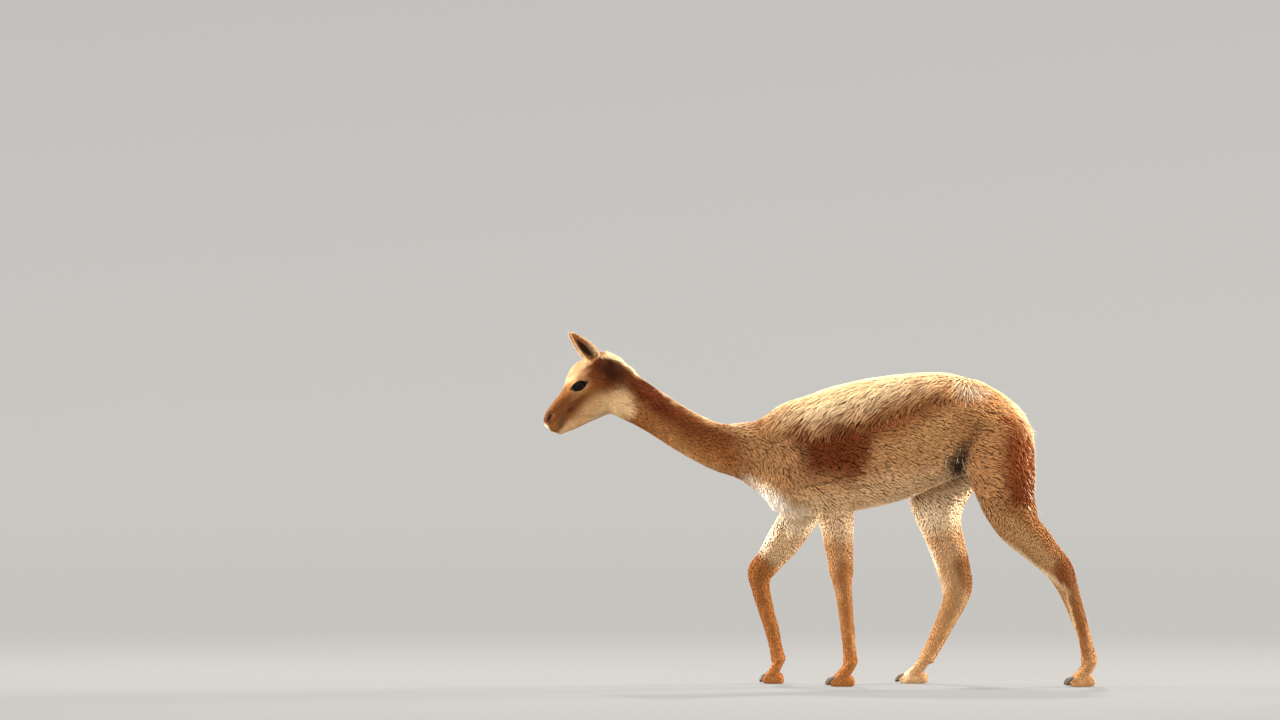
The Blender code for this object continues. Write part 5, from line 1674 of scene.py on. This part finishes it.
rimLit = ("rimHair", "rumpHair", "groinHair")   # hair that the light shines through
hairTints = {       # colour at the root and at the tip; the pale tips of rimWool are painted light, for the back light shining through the hair
    "rimWool": ((196, 140, 84), (246, 222, 180)),
    "lashHair": ((30, 19, 13), (48, 32, 22)),
}


def hairMaterial(name):
    material, shader, start = newMaterial(name, 0.8, specular=0.10)
    tuftTone, along = start.node("Attribute", {"attribute_name": "strand"}, output=1).split()[:2]
    root, tip = hairTints[name]
    color = start.plain(root).mix(along.smooth(-0.1, 0.6), linear(*tip))
    color.scaled(tuftTone * 0.3 + 0.85).feed(shader, "Base Color")
    return material


skinLook = {
    "stretch": (260.0, 700.0, 120.0),   # of the noise that stands for short hair
    "streaks": 0.24,                    # how strong it is
    "base": 1.30,                       # painted paler than the markings: painted light that offsets the coat's shade on it
    "bump": 0.5,
    "bumpDepth": 0.0012,
}


def skinMaterial():
    material, shader, start = newMaterial("skin", 0.8, specular=0.10)
    where = start.node("NewGeometry")
    hollow = start.node("Attribute", {"attribute_name": "hollow"}, output=2)
    streaks = where.vector("MULTIPLY", where, skinLook["stretch"]).noise(1.0, 3.0, 0.6)
    tone = streaks * skinLook["streaks"] + skinLook["base"]
    markings(where, hollow).scaled(tone).feed(shader, "Base Color")
    bump = start.node("Bump", {}, {"Height": streaks, "Strength": skinLook["bump"],
                                   "Distance": skinLook["bumpDepth"]})
    bump.feed(shader, "Normal")
    return material


def dress(prefix, material):            # gives the solids whose name begins so another material
    for name, node in nodes.items():
        if name.startswith(prefix):
            node.data.materials.clear()
            node.data.materials.append(material)


def eyeMaterial():
    material, shader, start = newMaterial("eyeGloss", 0.10, specular=0.10)
    where = start.node("NewGeometry")
    start.plain((10, 7, 6)).mix(where.noise(90.0, 2.0), linear(24, 17, 14)).feed(shader, "Base Color")
    return material


def nailMaterial():
    material, shader, start = newMaterial("nailHorn", 0.4, specular=0.5)
    where = start.node("NewGeometry")
    grain = where.vector("MULTIPLY", where, (150.0, 900.0, 900.0)).noise(1.0, 3.0)
    start.plain((52, 44, 38)).mix(grain, linear(96, 82, 68)).feed(shader, "Base Color")
    return material


studio = {
    "floorRadius": 15.0,
    "wallRadius": 25.0,
    "wallHeight": 14.0,
    "drop": 0.0004,                     # how far the floor lies below the soles
    "corners": 96,
    "bends": 8,
    "floor": (76, 75, 74),              # the part that the lamps light
    "near": (170, 169, 166),            # its own light, near the animal and far away, which keeps
    "wall": (176, 175, 172),            # the floor and the wall even
    "fade": (4.0, 22.0),                # distances between which the one turns into the other
    "world": 0.8,
    "worldTint": (1.0, 0.98, 0.95, 1.0),
    "aim": (0, 0, 0.6),                 # where the lamps point
}


def makeStage():
    profile = [(0.0, 0.0), (studio["floorRadius"], 0.0)]
    span = studio["wallRadius"] - studio["floorRadius"]
    for k in range(1, studio["bends"] + 1):
        angle = math.pi / 2 * k / studio["bends"]
        profile.append((studio["floorRadius"] + span * math.sin(angle), span * (1 - math.cos(angle))))
    profile.append((studio["wallRadius"], studio["wallHeight"]))
    bm = bmesh.new()
    count, drop = studio["corners"], studio["drop"]
    centre = bm.verts.new((0, 0, -drop))
    rings = [[bm.verts.new((r * math.cos(2 * math.pi * k / count), r * math.sin(2 * math.pi * k / count),
                            z - drop)) for k in range(count)] for r, z in profile[1:]]
    for k in range(count):
        bm.faces.new((centre, rings[0][k], rings[0][(k + 1) % count]))
        for near, far in zip(rings, rings[1:]):
            bm.faces.new((near[k], far[k], far[(k + 1) % count], near[(k + 1) % count]))
    mesh = meshFrom(bm, "studioFloor")
    mesh.shade_smooth()
    floor = place("studioFloor", mesh)
    floor.visible_shadow = False        # the far wall doesn't shade the floor
    material, shader, start = newMaterial("paleFloor", 1.0, specular=0.0)
    shader.inputs["Base Color"].default_value = linear(*studio["floor"])
    shader.inputs["Emission Strength"].default_value = 1.0
    where = start.node("NewGeometry")
    far = where.vector("LENGTH", where, output=1).smooth(*studio["fade"])
    start.plain(studio["near"]).mix(far, linear(*studio["wall"])).feed(shader, "Emission Color")
    mesh.materials.append(material)
    world = bpy.data.worlds.new("studio")
    world.use_nodes = True
    background = world.node_tree.nodes["Background"]
    background.inputs["Color"].default_value = studio["worldTint"]
    background.inputs["Strength"].default_value = studio["world"]
    bpy.context.scene.world = world


lights = {      # kind, place, size or angle, power, colour, spread
    "back": ("SUN", (-1.4, 3.3, 6.6), 0.12, 4.8, (1.0, 0.94, 0.86), 0),
    "rimFront": ("AREA", (-6.0, 1.5, 2.2), 1.4, 90, (1.0, 0.95, 0.88), 0.9),
    "rimRear": ("AREA", (6.2, 1.6, 2.6), 1.4, 110, (1.0, 0.94, 0.86), 0.8),
    "fill": ("SUN", (-3.0, -7.0, 4.5), 0.9, 2.35, (1.0, 0.96, 0.92), 0),
}


def makeLights():
    for name, (kind, spot, size, power, tint, spread) in lights.items():
        data = bpy.data.lights.new(name, kind)
        if kind == "SUN":
            data.angle = size
        else:
            data.size = size
            data.spread = spread
        data.energy = power
        data.color = tint
        lamp = bpy.data.objects.new(name, data)
        lamp.location = spot
        toAim = Vector(studio["aim"]) - Vector(spot)
        lamp.rotation_euler = toAim.to_track_quat("-Z", "Y").to_euler()
        bpy.context.scene.collection.objects.link(lamp)


flesh = [name for name in nodes if not name.startswith(("eye_", "nail_"))]
skinShape = skinMesh()
skinShape.shade_smooth()
skinShape.calc_loop_triangles()
skin = place("skin", skinShape)
hollow = hollowAt(vertexRows(skinShape, "co"), vertexRows(skinShape, "normal"))
addPointData(skinShape, "hollow", hollow)
skinShape.materials.append(skinMaterial())
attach(skin, "root")
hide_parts(*flesh)
surface = bmesh.new()
surface.from_mesh(skinShape)
skinTree = BVHTree.FromBMesh(surface)
surface.free()
print("skin tree")
flatMap = Unwrap(skinShape)
print("unwrap")
wool = coatMaterial()
makeCoat(skinShape, skinTree, flatMap, wool)
rimWool = hairMaterial("rimWool")
for lock in locks:
    growLocks(lock, skinShape, skinTree, flatMap, rimWool if lock in rimLit else wool)
growLashes(skinTree, flatMap, hairMaterial("lashHair"))
growEarHair(flatMap, rimWool)
dress("eye_", eyeMaterial())
dress("nail_", nailMaterial())
makeStage()
makeLights()
bpy.context.scene.view_settings.view_transform = "Standard"
